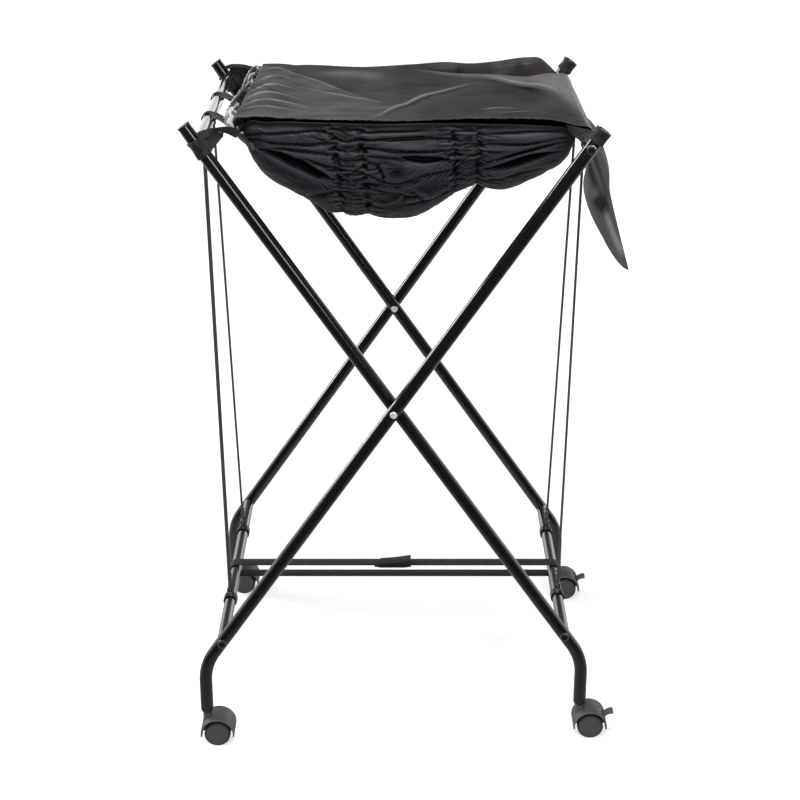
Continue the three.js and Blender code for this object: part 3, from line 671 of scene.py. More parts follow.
def cross_slots(turn, half_length=0.0025, half_width=0.00055):
    """Distance to the outline of two crossed slots."""
    c, s = np.abs(np.cos(turn)) + 1e-9, np.abs(np.sin(turn)) + 1e-9
    return np.maximum(
        np.minimum(half_length / c, half_width / s), np.minimum(half_length / s, half_width / c),
    )


def saddle_washer(name, at, out, side, body):
    """Ring under a screw head. Its top is flat and its underside hugs the leg: at a distance v
    beside the leg's axis it lies sqrt(radius^2 - v^2) from it."""
    along = leg_direction(side)
    across = np.cross(along, Y_AXIS)
    c, s = circle(64)
    rows = []
    for radius, top in (
        (0.0032, None), (0.0032, 0.0096), (0.0059, 0.0096), (0.0063, 0.0094), (0.0063, None),
    ):
        y = np.sqrt(LEG_RADIUS**2 - (radius * s) ** 2) + 0.00002 if top is None else top + 0 * s
        rows.append(radius * (c[:, None] * along + s[:, None] * across) + out * y[:, None] * Y_AXIS)
    make(name, [patch(np.stack(rows) + at, around=True, along=True)], washer_steel, body)


SCREW_SEAT = 0.0095  # leg's axis to the underside of a head
PIVOT_SEAT = 0.0093
NUT = [
    (0, 0.0001), (0.0001, 0.0028), (0.0008, 0.0042), (0.0018, 0.0048), (0.0038, 0.005),
    (0.004, 0.0048), (0.004, 0.0031),
]
PIVOT_WASHER = [
    (0.0003, 0.0032), (0, 0.0036), (0, 0.0066), (0.0003, 0.007), (0.0015, 0.007),
    (0.0018, 0.0066), (0.0018, 0.0036), (0.0015, 0.0032),
]

for place, row in CROSSBARS.items():
    crossbar(place, *row)

for place, (body, leg_y, side) in CROSSBARS.items():
    for end, out in ENDS.items():
        on_axis = bar_at[place] + out * leg_y * Y_AXIS
        saddle_washer(f"washer_{place}_{end}", on_axis, out, side, body)
        headed_screw(
            f"screw_{place}_{end}", on_axis + out * SCREW_SEAT * Y_AXIS, out, body, screw_black,
            0.0024, hexagon, 0.0015, 0.030,
        )

for end, out in ENDS.items():
    headed_screw(
        f"pivot_screw_{end}", pivot + out * outer_leg_y * Y_AXIS + out * PIVOT_SEAT * Y_AXIS, out,
        "pivots", screw_zinc, 0.0026, cross_slots, 0.0012, 0.042,
    )
    nut_low, nut_high = box_of(f"pivot_nut_{end}")
    inner_face = pivot + out * abs(nut_low[1] if out > 0 else nut_high[1]) * Y_AXIS
    make(f"pivot_nut_{end}", [turned(NUT, inner_face, (0, out, 0))], screw_zinc, "pivots")
    between = pivot + out * ((outer_leg_y + inner_leg_y) / 2 - 0.0009) * Y_AXIS
    make(f"pivot_washer_{end}", [turned(PIVOT_WASHER, between, Y_AXIS, hollow=True)],
         nylon_washer, "pivots")

# ------------------------------------------------------------------ caps in the upper leg ends

END_CAP = [
    (-0.009, 0.0068), (-0.0085, 0.0074), (0, 0.0074), (0.0001, 0.0088), (0.0005, 0.00897),
    (0.0011, 0.00897), (0.0014, 0.0088), (0.0016, 0.0084), (0.00155, 0.006), (0.0015, 0.001),
]
END_PLUG = [
    (-0.012, 0.0068), (-0.0115, 0.0076), (-0.0016, 0.0076), (-0.0012, 0.0072),
    (-0.0008, 0.0062), (-0.0006, 0.004), (-0.0005, 0.0012),
]
for end, out in ENDS.items():
    for name, profile, side, leg_y, body, crease in (
        ("end_cap_top_left", END_CAP, -1, inner_leg_y, "inner_frame", 50),
        ("end_plug_top_right", END_PLUG, 1, outer_leg_y, "outer_frame", 35),
    ):
        shell = turned(profile, leg_top(side, out * leg_y), -leg_direction(side))
        make(f"{name}_{end}", [shell], cap_plastic, body, crease=crease)

# ------------------------------------------------------------------ casters

LEVER_SLOT = (math.radians(8), math.radians(52))
LEVER_SLOT_WIDTH = 0.0128
LEVER_PIVOT_ANGLE = math.radians(24)
LEVER_PIVOT_RADIUS = 0.0212
BOSS_TOP = foot_end - 0.0003
BOSS_BOTTOM = 0.0240


def arc_wall(low, high, y_low, y_high, centre):
    """Part of the hood: its rounded section (y, radius) carried round the axle between two
    angles."""
    radial = spokes_at(np.linspace(low, high, max(4, int((high - low) / math.radians(3)))))
    section = rounded_box(y_high - y_low, HOOD_OUTER - HOOD_INNER, 0.0007)
    section = section + [(y_low + y_high) / 2, 0]
    return carried(section, centre + radial * (HOOD_INNER + HOOD_OUTER) / 2, Y_AXIS, radial)


def hood(name, hub, body, with_lever):
    """Hood over both wheels, open below and slotted for a lever, with a web between the wheels
    that carries the axle and the boss for the stem."""
    half, gap = HOOD_WIDTH / 2, LEVER_SLOT_WIDTH / 2
    low, high = -HOOD_SKIRT, math.pi + HOOD_SKIRT
    walls = [
        (low, LEVER_SLOT[0], -half, half), (LEVER_SLOT[1], high, -half, half),
        (*LEVER_SLOT, -half, -gap), (*LEVER_SLOT, gap, half),
    ] if with_lever else [(low, high, -half, half)]
    dome = spokes_at(np.linspace(-0.1, math.pi + 0.1, 40))[:, ::2] * 0.0225
    sling = spokes_at(np.linspace(math.pi + 0.6, TAU - 0.6, 12))[:, ::2] * 0.0062
    web = prism(np.concatenate([dome, sling]), 0.010, 0.0006, hub)
    boss = [(BOSS_BOTTOM, 0.0052), (BOSS_BOTTOM + 0.0008, NECK_RADIUS),
            (BOSS_TOP - 0.0006, NECK_RADIUS), (BOSS_TOP, 0.0055)]
    stem_axis = (hub[0] - STEM_OFFSET, hub[1], 0)
    shells = [arc_wall(*wall, hub) for wall in walls] + [web, turned(boss, stem_axis, (0, 0, 1))]
    make(name, shells, hood_plastic, body, crease=40)


def wheel(name, hub, way, body):
    """Wheel turned about the axle: a tread rounded at both edges, and a flat cap in its face."""
    face, axis = hub + way * WHEEL_GAP * Y_AXIS, (0, way, 0)
    w, r = WHEEL_WIDTH, WHEEL_RADIUS
    edge, inner_edge = 0.0017, 0.001
    corner = np.linspace(0, QUARTER_TURN, 6)
    rim = [
        (0.0006, 0.0036), (0.0006, 0.0125), (0.0, 0.0132),
        *(
            (inner_edge - inner_edge * math.cos(a), r - inner_edge + inner_edge * math.sin(a))
            for a in corner
        ),
        *((w - edge + edge * math.sin(a), r - edge + edge * math.cos(a)) for a in corner),
        (w, 0.0168), (w - 0.0003, 0.0165), (w - 0.0012, 0.0163), (w - 0.0014, 0.008),
    ]
    make(name, [turned(rim, face, axis, 72)], wheel_tread, body)
    cap = [(w - 0.0016, 0.0160), (w - 0.0002, 0.0163), (w + 0.0001, 0.0161), (w + 0.0002, 0.0156),
           (w + 0.0002, 0.0150), (w + 0.00005, 0.0146), (w + 0.00005, 0.0052),
           (w + 0.0001, 0.0049), (w + 0.0001, 0.0045), (w + 0.0001, 0.001)]
    make(f"{name}_cap", [turned(cap, face, axis, 64)], wheel_plastic, body)


def lever(name, hub, body):
    """Foot lever: a thumb tab of two quadratic curves, as wide as its slot, on a round hub."""
    at = hub + LEVER_PIVOT_RADIUS * np.array(
        [math.cos(LEVER_PIVOT_ANGLE), 0, math.sin(LEVER_PIVOT_ANGLE)]
    )
    t = np.linspace(0, 1, 12)[:, None]
    under_mm, over_mm = (
        curved(*(np.array(p) for p in points), t)
        for points in (
            ((1.6, -1.7), (4.6, 4.2), (14.6, 4.6)), ((13.6, 10.0), (5.6, 9.2), (-1.8, 1.6)),
        )
    )
    tip_mm = rounded([(14.6, 4.6), (15.2, 7.2), (13.6, 10.0)], 1.6)[1:-1]
    tab = prism(np.concatenate([under_mm, tip_mm, over_mm]) / 1000, 0.011, 0.0007, at)
    shells = [tab, turned(pin(0.011, 0.0024, 0.0002, 0.0002), at, Y_AXIS),
              turned(pin(0.0192, 0.0013, 0.0001, 0.0002), at, Y_AXIS, 20)]
    make(name, shells, hood_plastic, body, crease=40)


for end in ENDS:
    for side in SIDES:
        corner = f"{end}_{side}"
        caster = f"caster_{corner}"
        foot = joint_at[f"swivel_{corner}"]
        hub = joint_at[f"roll_{corner}_outer"].copy()
        hub[1] = foot[1]
        stem = [(0.0252, 0.0036), (0.0258, 0.004), (foot_end + 0.0006, 0.004),
                (foot_end + 0.0006, 0.0045), (foot_end + 0.0053, 0.0045),
                (foot_end + 0.0053, 0.0072), (0.074, 0.0070)]
        make(f"stem_{corner}", [turned(stem, (foot[0], foot[1], 0), (0, 0, 1), 32)], axle_steel,
             "outer_frame" if side == "left" else "inner_frame")
        hood(f"hood_{corner}", hub, caster, side == "right")
        axle = turned(pin(0.0326, 0.003, 0.0003, 0.0004), hub, Y_AXIS, 32)
        make(f"axle_{corner}", [axle], axle_steel, caster)
        outward = np.sign(foot[1])
        for face, way in (("outer", outward), ("inner", -outward)):
            wheel(f"wheel_{corner}_{face}", hub, way, f"wheel_{corner}_{face}")
        if side == "right":
            lever(f"brake_lever_{corner}", hub, f"brake_{corner}")

# ------------------------------------------------------------------ sleeves on the upper leg ends

BAR_DOWN_LEG = (leg_top(-1, 0)[2] - bar_at["top_left"][2]) / math.sin(LEG_ANGLE)


def sleeve(name, side, y, low, high, body):
    """Webbing sewn into a sleeve round the leg: a tube whose radius ripples with the weave's
    slack and swells over the crossbar's screw, closed by an inner skin, from one distance
    below the leg's end to another."""
    rows, cols = 27, 72
    down = np.linspace(low, high, rows)
    turn = steps_round(cols)
    along = leg_direction(side)
    across = np.cross(along, Y_AXIS)
    slack = 0.00035 * np.sin(3 * turn[None] + 260 * down[:, None]) + 0.0002 * np.sin(7 * turn[None])
    flare = 0.0004 * np.cos(np.linspace(0, TAU, rows))[:, None]
    from_screw = np.abs((turn[None] - math.copysign(QUARTER_TURN, y) + math.pi) % TAU - math.pi)
    swell = np.exp(-((from_screw / 0.66) ** 4) - ((down[:, None] - BAR_DOWN_LEG) / 0.0072) ** 4)
    outer = 0.0093 + SLEEVE_WALL + slack + flare + 0.0026 * swell
    radius = np.concatenate([outer, 0.0092 + 0 * slack])
    reach = np.concatenate([down, down[::-1]])
    points = (
        leg_top(side, y) + reach[:, None, None] * along
        + radius[..., None] * (
            np.cos(turn)[None, :, None] * across + np.sin(turn)[None, :, None] * Y_AXIS
        )
    )
    step = (high - low) / (rows - 1)
    uv = (np.arange(2 * rows + 1) * step, np.arange(cols + 1) / cols * TAU * 0.0105)
    make(name, [patch(points, around=True, along=True, uv=uv)], webbing_tape, body, crease=60)


for end, out in ENDS.items():
    sleeve(f"sleeve_top_left_{end}", -1, out * inner_leg_y, 0.0212, 0.0458, "inner_frame")
    sleeve(f"sleeve_top_right_{end}", 1, out * outer_leg_y, 0.0008, 0.0188, "outer_frame")

# ------------------------------------------------------------------ pieces with their own meshes


def crumple(piece):
    """Gives a piece its own copy of its mesh."""
    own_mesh(piece)
    return piece


def travel_in_fold(piece):
    """Gives a piece its own copy of its mesh, as crumple does."""
    crumple(piece)


# ------------------------------------------------------------------ strap on the bottom crossbars


def tape(centres, normals, width, thickness):
    """Flat tape along a path: its width follows Y and its thickness the path's normal."""
    return carried(tape_section(width, thickness), centres, Y_AXIS, normals)


def webbing_piece(name, shells, body="bag", **stand_in):
    return make(name, shells, webbing_tape, body, crease=70, **stand_in)


strap_low, strap_high = box_of("strap")
strap_y = (strap_low[1] + strap_high[1]) / 2
strap_radius = (strap_high[2] - strap_low[2]) / 2 - STRAP_THICKNESS / 2
left_bar, right_bar = bar_at["bottom_left"], bar_at["bottom_right"]
strap_lift = np.array([0, 0, strap_radius])

# Two straight runs and a half turn round each bar.
way_right = spokes_at(np.linspace(-QUARTER_TURN, QUARTER_TURN, 17))
runs = np.linspace(0, 1, 42)[1:-1, None]
centres = np.concatenate([
    right_bar + strap_radius * way_right,
    (1 - runs) * (right_bar + strap_lift) + runs * (left_bar + strap_lift),
    left_bar - strap_radius * way_right,
    (1 - runs) * (left_bar - strap_lift) + runs * (right_bar - strap_lift),
])
centres[:, 1] = strap_y
run_up = np.zeros((40, 3)) + [0, 0, 1]
normals = np.concatenate([way_right, run_up, -way_right, -run_up])
right_turn, top_run, left_turn, low_run = (
    tape(centres[part], normals[part], STRAP_WIDTH, STRAP_THICKNESS)
    for part in (np.r_[0:17], np.r_[16:58], np.r_[57:74], np.r_[73:114, 0])
)
# The ends lie on each other in a stitched lap, and one goes on as a loose tail.
t = np.linspace(0, 1, 14)
level, run_z = strap_y + 0 * t, left_bar[2] + strap_radius
lap_fall = 0.0034 - 0.0018 * (clamped(t * 6 - 5) + clamped(1 - t * 6))
lap = np.stack([-0.0495 + 0.056 * t, level, run_z - lap_fall], 1)
tail = np.stack([-0.0400 + 0.046 * t, level, run_z + 0.0017 + 0.0052 * t**1.6], 1)
lap_and_tail = [
    tape(lap, (0, 0, 1), STRAP_WIDTH - 0.0006, 0.0036),
    tape(tail, (0, 0, 1), STRAP_WIDTH - 0.0004, STRAP_THICKNESS),
]
# The two runs, the lap and the tail make one piece, and each half turn round a bar is a
# piece of its own, all on the strap's body.
crumple(
    webbing_piece("strap_webbing", [top_run, low_run, *lap_and_tail], "strap", stands_for="strap"),
)
webbing_piece("strap_turn_left", [left_turn], "strap")
travel_in_fold(
    webbing_piece("strap_turn_right", [right_turn], "strap"),
)

# ------------------------------------------------------------------ clips on the bottom crossbars

COLLAR_BORE = 0.0084
COLLAR_WALL = 0.0016
COLLAR_LENGTH = 0.014
CLIP_NECK = 0.006
EYELET_RISE = COLLAR_BORE + 0.0022 + CLIP_NECK
EYELET_RADIUS = 0.0034


def clip(name, at, body):
    """Collar round the bar with a wedge-shaped lock below, a neck that tapers upwards from
    the collar, and an eyelet: an oval section carried round a circle."""
    collar = pin(COLLAR_LENGTH, COLLAR_BORE + 0.0001, 0.0004, -0.0004)
    collar += pin(COLLAR_LENGTH, COLLAR_BORE + COLLAR_WALL, 0.0006, 0.0006)[::-1]
    rise = np.linspace(0, 1, 12)
    swell = 0.5 + 0.5 * np.cos(math.pi * rise)
    half_x = 0.0026 + 0.0052 * swell**1.6
    half_y = 0.0021 + 0.0042 * swell
    c, s = circle(28)
    bulge = 1 / (np.abs(c) ** 4 + np.abs(s) ** 4) ** 0.25
    base, top = COLLAR_BORE + 0.0014, EYELET_RISE - 0.0026
    neck = np.stack([
        half_x[:, None] * (bulge * c)[None], half_y[:, None] * (bulge * s)[None],
        (base + (top - base) * rise)[:, None] + 0 * c[None],
    ], -1)
    neck[:4, :, 2] -= 0.004 * (neck[:4, :, 0] / 0.009) ** 2
    radial = spokes_at(steps_round(36))
    eyelet = carried(
        np.stack([0.00215 * c, 0.0011 * s], 1), at + [0, 0, EYELET_RISE] + EYELET_RADIUS * radial,
        Y_AXIS, radial, ring=True,
    )
    lock = [(-0.0052, -0.0088), (0.0052, -0.0088), (0.0012, -0.0132), (-0.0012, -0.0132)]
    make(name, [
        turned(collar, at, Y_AXIS, 64, hollow=True), patch(neck + at, around=True, poles=True),
        eyelet, prism(rounded(lock, 0.0008, 3, closed=True), 0.0115, 0.0006, at),
    ], clip_plastic, body, crease=40)


# ------------------------------------------------------------------ elastic cords

SHEATH_RADIUS = 0.0018  # the braid swells a little over the nominal 3 mm
CORE_RADIUS = 0.0015
LOOP_RISE = 0.0045  # eyelet to where the cord's doubled loop begins


def cord(side, end):
    """One cord from its knot below the top bar to its clip on the bottom bar, in two layers:
    the sheath goes with the upper end and the core with the lower one."""
    name = f"{side}_{end}"
    cord_low, cord_high = (corner[1] for corner in box_of(f"cord_{name}"))
    clip_low, clip_high = (corner[1] for corner in box_of(f"clip_{name}"))
    clip_y = (clip_low + clip_high) / 2
    leans_forward = cord_low + cord_high < 2 * clip_y
    bottom_bar, top_bar = bar_at[f"bottom_{side}"].copy(), bar_at[f"top_{side}"].copy()
    bottom_bar[1] = clip_y
    top_bar[1] = cord_low + CORD_RADIUS if leans_forward else cord_high - CORD_RADIUS
    clip(f"clip_{name}", bottom_bar, f"{side}_clips")
    upper = top_bar - [0, 0, BAR_RADIUS + 2 * FIT_GAP]
    lower = bottom_bar + [0, 0, EYELET_RISE + LOOP_RISE + 2 * FIT_GAP]
    line = upper + np.linspace(0, 1, 30)[:, None] * (lower - upper)
    # The front left one is pressed flatter by its knot and lies broad side on.
    oval = (1.50, 0.85) if name == "left_front" else (1.0, 1.0)
    sheath = make(f"cord_{name}_sheath", [rod(line, SHEATH_RADIUS, 14, oval=oval)], elastic_braid,
                  f"{side}_cords", stands_for=f"cord_{name}")
    core = make(f"cord_{name}_core", [rod(line, CORE_RADIUS, 12, oval=oval)], elastic_braid,
                f"{side}_clips")
    # The end comes out of a hole in the bar's underside and is knotted below it.
    down = np.linspace(BAR_RADIUS - 0.0004, BAR_RADIUS + 0.0016, 12)
    turn, share = np.linspace(0, 3 * TAU, 80), np.linspace(0, 1, 80)
    knot = np.stack([0.0027 * np.cos(turn), 0.0027 * np.sin(turn), -0.0022 - 0.0075 * share], 1)
    make(f"cord_{name}_knot", [
        rod(top_bar - down[:, None] * [0, 0, 1], 0.0011),
        rod(upper + knot, 0.0012, reference=(0, 0, 1)),
    ], elastic_braid, f"{side}_cords")
    # Doubled loop through the eyelet, its two legs wound round each other.
    t = np.linspace(0, 1, 100)
    spread, angle = 0.0016 + 0.0008 * np.cos(t * math.pi) ** 2, t * 3 * math.pi
    helix = np.stack([spread * np.cos(angle), spread * np.sin(angle), 0.0250 * t], 1)
    base = lower - [0, 0, LOOP_RISE]
    under = base + [0.0024, 1, -0.0028] * spokes_at(np.linspace(0, math.pi, 24)[1:-1])
    loop = np.concatenate([(base + helix)[::-1], under, base + helix * [-1, -1, 1]])
    make(f"cord_{name}_twist", [rod(loop, 0.00125)], elastic_braid, f"{side}_clips")
    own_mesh(sheath)
    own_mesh(core)


for side in SIDES:
    for end in ENDS:
        cord(side, end)

# ------------------------------------------------------------------ cloth


def hashed(i, j, seed):
    """A fixed number from 0 to 1 for each whole-number place."""
    n = (
        (i.astype(np.int64) * 374761393 + j.astype(np.int64) * 668265263 + seed * 2147483647)
        & 0xFFFFFFFF
    )
    n = ((n ^ (n >> 13)) * 1274126177) & 0xFFFFFFFF
    return ((n ^ (n >> 16)) & 0xFFFF) / 65535.0


def noise(x, y, seed=0):
    """Smooth noise from -1 to 1 with features one unit across."""
    x, y = np.broadcast_arrays(x, y)
    i, j = np.floor(x), np.floor(y)
    fx, fy = x - i, y - j
    fx, fy = eased(fx), eased(fy)
    a, b = hashed(i, j, seed), hashed(i + 1, j, seed)
    c, d = hashed(i, j + 1, seed), hashed(i + 1, j + 1, seed)
    return 2 * ((a * (1 - fx) + b * fx) * (1 - fy) + (c * (1 - fx) + d * fx) * fy) - 1


def curve_through(at, places, values):
    """Smooth curve through values at places: cubic Hermite with slopes from the neighbours."""
    places, values = np.array(places, float), np.array(values, float)
    slopes = np.gradient(values, places)
    k = np.clip(np.searchsorted(places, at) - 1, 0, len(places) - 2)
    h = places[k + 1] - places[k]
    t = clamped((at - places[k]) / h)
    return (
        (1 + 2 * t) * (1 - t) ** 2 * values[k] + t * (1 - t) ** 2 * h * slopes[k]
        + t**2 * (3 - 2 * t) * values[k + 1] + t**2 * (t - 1) * h * slopes[k + 1]
    )


def normals_of(grid):
    return unit(np.cross(np.gradient(grid, axis=1), np.gradient(grid, axis=0)) + 1e-12)


SETTLE_ROUNDS = 90
SETTLE_WEIGHT = 0.00001  # how far a free point sinks in a round
APART_DOWN, APART_ACROSS = 0.93, 0.965  # share of their length that points two apart keep


def settle(start, base, rest_down, rest_across, held, cap):
    """Relaxes a sheet of cloth over a grid: each round draws every thread between neighbouring
    grid points to its own length, keeps points two apart from closing up past a share of
    their length, and lets no point leave its base by more than cap."""
    p = start.copy()
    free = np.where(held, 0.0, 1.0)[..., None]
    diagonal = np.hypot(
        (rest_down[:, :-1] + rest_down[:, 1:]) / 2, (rest_across[:-1] + rest_across[1:]) / 2,
    )
    two_down = rest_down[:-1] + rest_down[1:]
    two_across = rest_across[:, :-1] + rest_across[:, 1:]

    def pull(a, b, length, share, only_push=False):
        pa, pb, wa, wb = p[a], p[b], free[a], free[b]
        gap = pb - pa
        dist = np.linalg.norm(gap, axis=-1, keepdims=True) + 1e-9
        short = dist - length[..., None]
        if only_push:
            short = np.minimum(short, 0)
        step = share * short / dist * gap / np.maximum(wa + wb, 1e-9)
        p[a] += wa * step
        p[b] -= wb * step

    def pairs(count, k):
        """Every second place from k, and the place after each."""
        n = (count - k) // 2
        return slice(k, k + 2 * n, 2), slice(k + 1, k + 1 + 2 * n, 2)

    rows, cols = p.shape[:2]
    s = np.s_
    for _ in range(SETTLE_ROUNDS):
        p[..., 2] -= SETTLE_WEIGHT * free[..., 0]
        for k in (0, 1):
            top, low = pairs(rows, k)
            pull(top, low, rest_down[top], 1.0)
        for k in (0, 1):
            left, right = pairs(cols, k)
            pull(s[:, left], s[:, right], rest_across[:, left], 0.9)
        for k in (0, 1):
            top, low = pairs(rows, k)
            pull((top, s[:-1]), (low, s[1:]), diagonal[top], 0.25)
            pull((top, s[1:]), (low, s[:-1]), diagonal[top], 0.25)
        for k in range(4):
            at = np.arange(k, rows - 2, 4)
            pull(at, at + 2, APART_DOWN * two_down[at], 0.8, only_push=True)
        for k in range(4):
            at = np.arange(k, cols - 2, 4)
            pull((s[:], at), (s[:], at + 2), APART_ACROSS * two_across[:, at], 0.8, only_push=True)
        away = p - base
        far = np.linalg.norm(away, axis=-1, keepdims=True) + 1e-12
        p = base + away * np.minimum(1, cap[..., None] / far)
    return p


# The bag hangs from a rim that runs round it at the height of the top crossbars. Its depth
# varies along X, and each cross-section is a superellipse: y follows -cos and z follows sin
# of an angle that runs from the front rim, under the bag, to the back rim.

BAG_LEFT, BAG_RIGHT = -0.2225, 0.2195
BAG_FRONT, BAG_BACK = -0.155, 0.195
DEPTH_AT = [-0.2225, -0.214, -0.207, -0.200, -0.181, -0.150, -0.126, -0.105, -0.085, -0.054, -0.040,
            -0.010, 0.012, 0.040, 0.057, 0.082, 0.095, 0.106, 0.125, 0.152, 0.181, 0.197, 0.205,
            0.2125,
            0.2165, 0.2195]
DEPTH = [0.000, 0.030, 0.056, 0.069, 0.087, 0.107, 0.123, 0.137, 0.141, 0.141, 0.143,
         0.142, 0.139, 0.126, 0.117, 0.103, 0.100, 0.104, 0.104, 0.093, 0.078, 0.069, 0.061, 0.048,
         0.030, 0.000]
FRONT_RIM = (
    [-0.2225, -0.213, -0.183, -0.114, -0.045, 0.028, 0.114, 0.176, 0.207, 0.2195],
    [0.868, 0.8805, 0.8835, 0.8828, 0.8808, 0.8818, 0.8808, 0.8785, 0.8755, 0.872],
)
BACK_RIM = (
    [-0.2225, -0.19, -0.056, 0.012, 0.057, 0.093, 0.130, 0.178, 0.196, 0.2195],
    [0.878, 0.886, 0.887, 0.891, 0.894, 0.892, 0.895, 0.901, 0.900, 0.880],
)
# Gathering threads, in pairs either side of a divider: x at the rim and at the bag's floor.
THREADS = [(-0.0985, -0.0880), (-0.0640, -0.0530), (0.0585, 0.0640), (0.0930, 0.0915)]

# Folds of the front panel, which a load of cloth keeps when it is pushed down: a line in X
# and Z, how deep it is, how wide, and the step from the cloth above it to the cloth below.
FOLDS = [
    ([(-0.218, 0.868), (-0.184, 0.870), (-0.144, 0.872), (-0.104, 0.874)], 0.0030, 0.0022, 0.0014),
    ([(-0.218, 0.865), (-0.172, 0.858), (-0.124, 0.856), (-0.094, 0.858)], 0.0040, 0.0028, 0.0020),
    ([(-0.197, 0.849), (-0.161, 0.850), (-0.125, 0.846), (-0.093, 0.841)], 0.0040, 0.0028, 0.0020),
    ([(-0.200, 0.848), (-0.172, 0.842), (-0.148, 0.833), (-0.122, 0.817), (-0.106, 0.809),
      (-0.090, 0.806)],
     0.0040, 0.0040, 0.0020),
    ([(-0.150, 0.838), (-0.128, 0.835), (-0.104, 0.826), (-0.088, 0.823)], 0.0035, 0.0028, 0.0020),
    ([(-0.135, 0.781), (-0.106, 0.787), (-0.080, 0.792)], 0.0032, 0.0030, 0.0016),
    ([(-0.060, 0.870), (-0.025, 0.872), (0.029, 0.873)], 0.0026, 0.0020, 0.0012),
    ([(-0.055, 0.861), (-0.015, 0.863), (0.021, 0.865), (0.062, 0.862)], 0.0038, 0.0026, 0.0020),
    ([(-0.053, 0.851), (-0.025, 0.848), (0.005, 0.846), (0.031, 0.847), (0.062, 0.848)],
     0.0042, 0.0028, 0.0022),
    ([(-0.053, 0.840), (-0.025, 0.838), (0.002, 0.834), (0.024, 0.831), (0.050, 0.834),
      (0.062, 0.834)],
     0.0040, 0.0034, 0.0020),
    ([(-0.052, 0.832), (-0.039, 0.828), (-0.032, 0.814), (-0.030, 0.802)], 0.0040, 0.0028, 0.0018),
    ([(-0.051, 0.814), (-0.036, 0.806), (-0.020, 0.803), (0.004, 0.806)], 0.0036, 0.0028, 0.0018),
    ([(-0.010, 0.805), (0.021, 0.815), (0.052, 0.819), (0.063, 0.821)], 0.0048, 0.0032, 0.0022),
    ([(-0.045, 0.792), (-0.015, 0.789), (0.016, 0.783)], 0.0038, 0.0030, 0.0018),
    ([(0.002, 0.795), (0.014, 0.786), (0.025, 0.773)], 0.0030, 0.0022, 0.0012),
    ([(-0.005, 0.772), (0.021, 0.776), (0.058, 0.789)], 0.0038, 0.0030, 0.0018),
    ([(0.205, 0.872), (0.151, 0.872), (0.097, 0.869)], 0.0034, 0.0024, -0.0016),
    ([(0.207, 0.865), (0.156, 0.857), (0.100, 0.856)], 0.0038, 0.0028, -0.0020),
    ([(0.209, 0.860), (0.166, 0.850), (0.135, 0.842), (0.102, 0.832)], 0.0060, 0.0034, -0.0026),
    ([(0.200, 0.846), (0.165, 0.835), (0.123, 0.824), (0.096, 0.819)], 0.0040, 0.0040, -0.0020),
    ([(0.178, 0.825), (0.146, 0.817), (0.120, 0.807), (0.101, 0.803)], 0.0034, 0.0030, -0.0018),
]
# Deep hollows between two folds: a line in X and Z, the depth and half the width at its middle.
POCKETS = [
    ([(-0.196, 0.848), (-0.166, 0.838), (-0.140, 0.826), (-0.116, 0.812), (-0.098, 0.806)],
     0.0150, 0.0070),
    ([(0.094, 0.817), (0.130, 0.825), (0.162, 0.835), (0.200, 0.845)], 0.0130, 0.0062),
    ([(-0.010, 0.838), (0.018, 0.834), (0.052, 0.835)], 0.0110, 0.0046),
]


def line_distance(x, y, line):
    """Distance from a line of points, the share of the way along it, and the distance to its
    right, which is negative on its left."""
    best, share, aside = np.full(x.shape, 9.0), np.zeros(x.shape), np.zeros(x.shape)
    for k, (a, b) in enumerate(zip(line[:-1], line[1:])):
        run = np.subtract(b, a)
        dx, dy = x - a[0], y - a[1]
        t = clamped((dx * run[0] + dy * run[1]) / (run @ run))
        d = np.hypot(dx - t * run[0], dy - t * run[1])
        near = d < best
        best = np.where(near, d, best)
        share = np.where(near, (k + t) / (len(line) - 1), share)
        aside = np.where(near, (dx * run[1] - dy * run[0]) / math.hypot(*run), aside)
    return best, share, aside


def fold(x, y, line, depth, width, step, soft=0.0):
    """Valley along a line: -depth * exp(-distance / width), and a step from one side of it to
    the other that dies away over three widths. Both fade at the line's ends, and soft is the
    distance over which the bottom is rounded."""
    d, share, aside = line_distance(x, y, line)
    d = np.sqrt(d * d + soft * soft) - soft
    fade = np.sin(np.clip(share, 0.03, 0.97) * math.pi) ** 0.7
    side = np.tanh(aside / (0.0010 + soft))
    return fade * (-depth * np.exp(-d / width) - step * side * np.exp(-d / (3 * width)))


def pocket(x, y, line, half_width):
    """Share of a deep hollow, 1 at its middle: exp(-(distance / half width)^4), with a half
    width that closes to a point at both ends."""
    d, share, _ = line_distance(x, y, line)
    half_width = half_width * np.sin(np.clip(share, 0.02, 0.98) * math.pi) ** 0.8
    return np.exp(-((d / half_width) ** 4))


def bag_base(cols, rows):
    """Smooth shape of the bag on a grid: rows run from the front rim to the back rim."""
    x_rim = BAG_LEFT + (BAG_RIGHT - BAG_LEFT) * np.linspace(0, 1, cols)
    angle = np.linspace(0, math.pi, rows)[:, None]
    c, s = np.cos(angle), np.sin(angle)
    depth = np.maximum(curve_through(x_rim, DEPTH_AT, DEPTH), 0)[None]
    box = 0.52 + 0.48 * np.exp(-depth / 0.03)
    y = (BAG_FRONT + BAG_BACK) / 2 - (BAG_BACK - BAG_FRONT) / 2 * np.sign(c) * np.abs(c) ** box
    fall = np.abs(s) ** 0.62
    share = (1 - c) / 2
    rim = (
        (1 - share) * curve_through(x_rim, *FRONT_RIM)[None]
        + share * curve_through(x_rim, *BACK_RIM)[None]
    )
    z = rim - depth * fall - 0.004 * s**2 * (depth > 0.05)
    return np.stack([x_rim[None] + 0 * z, y, z], -1)


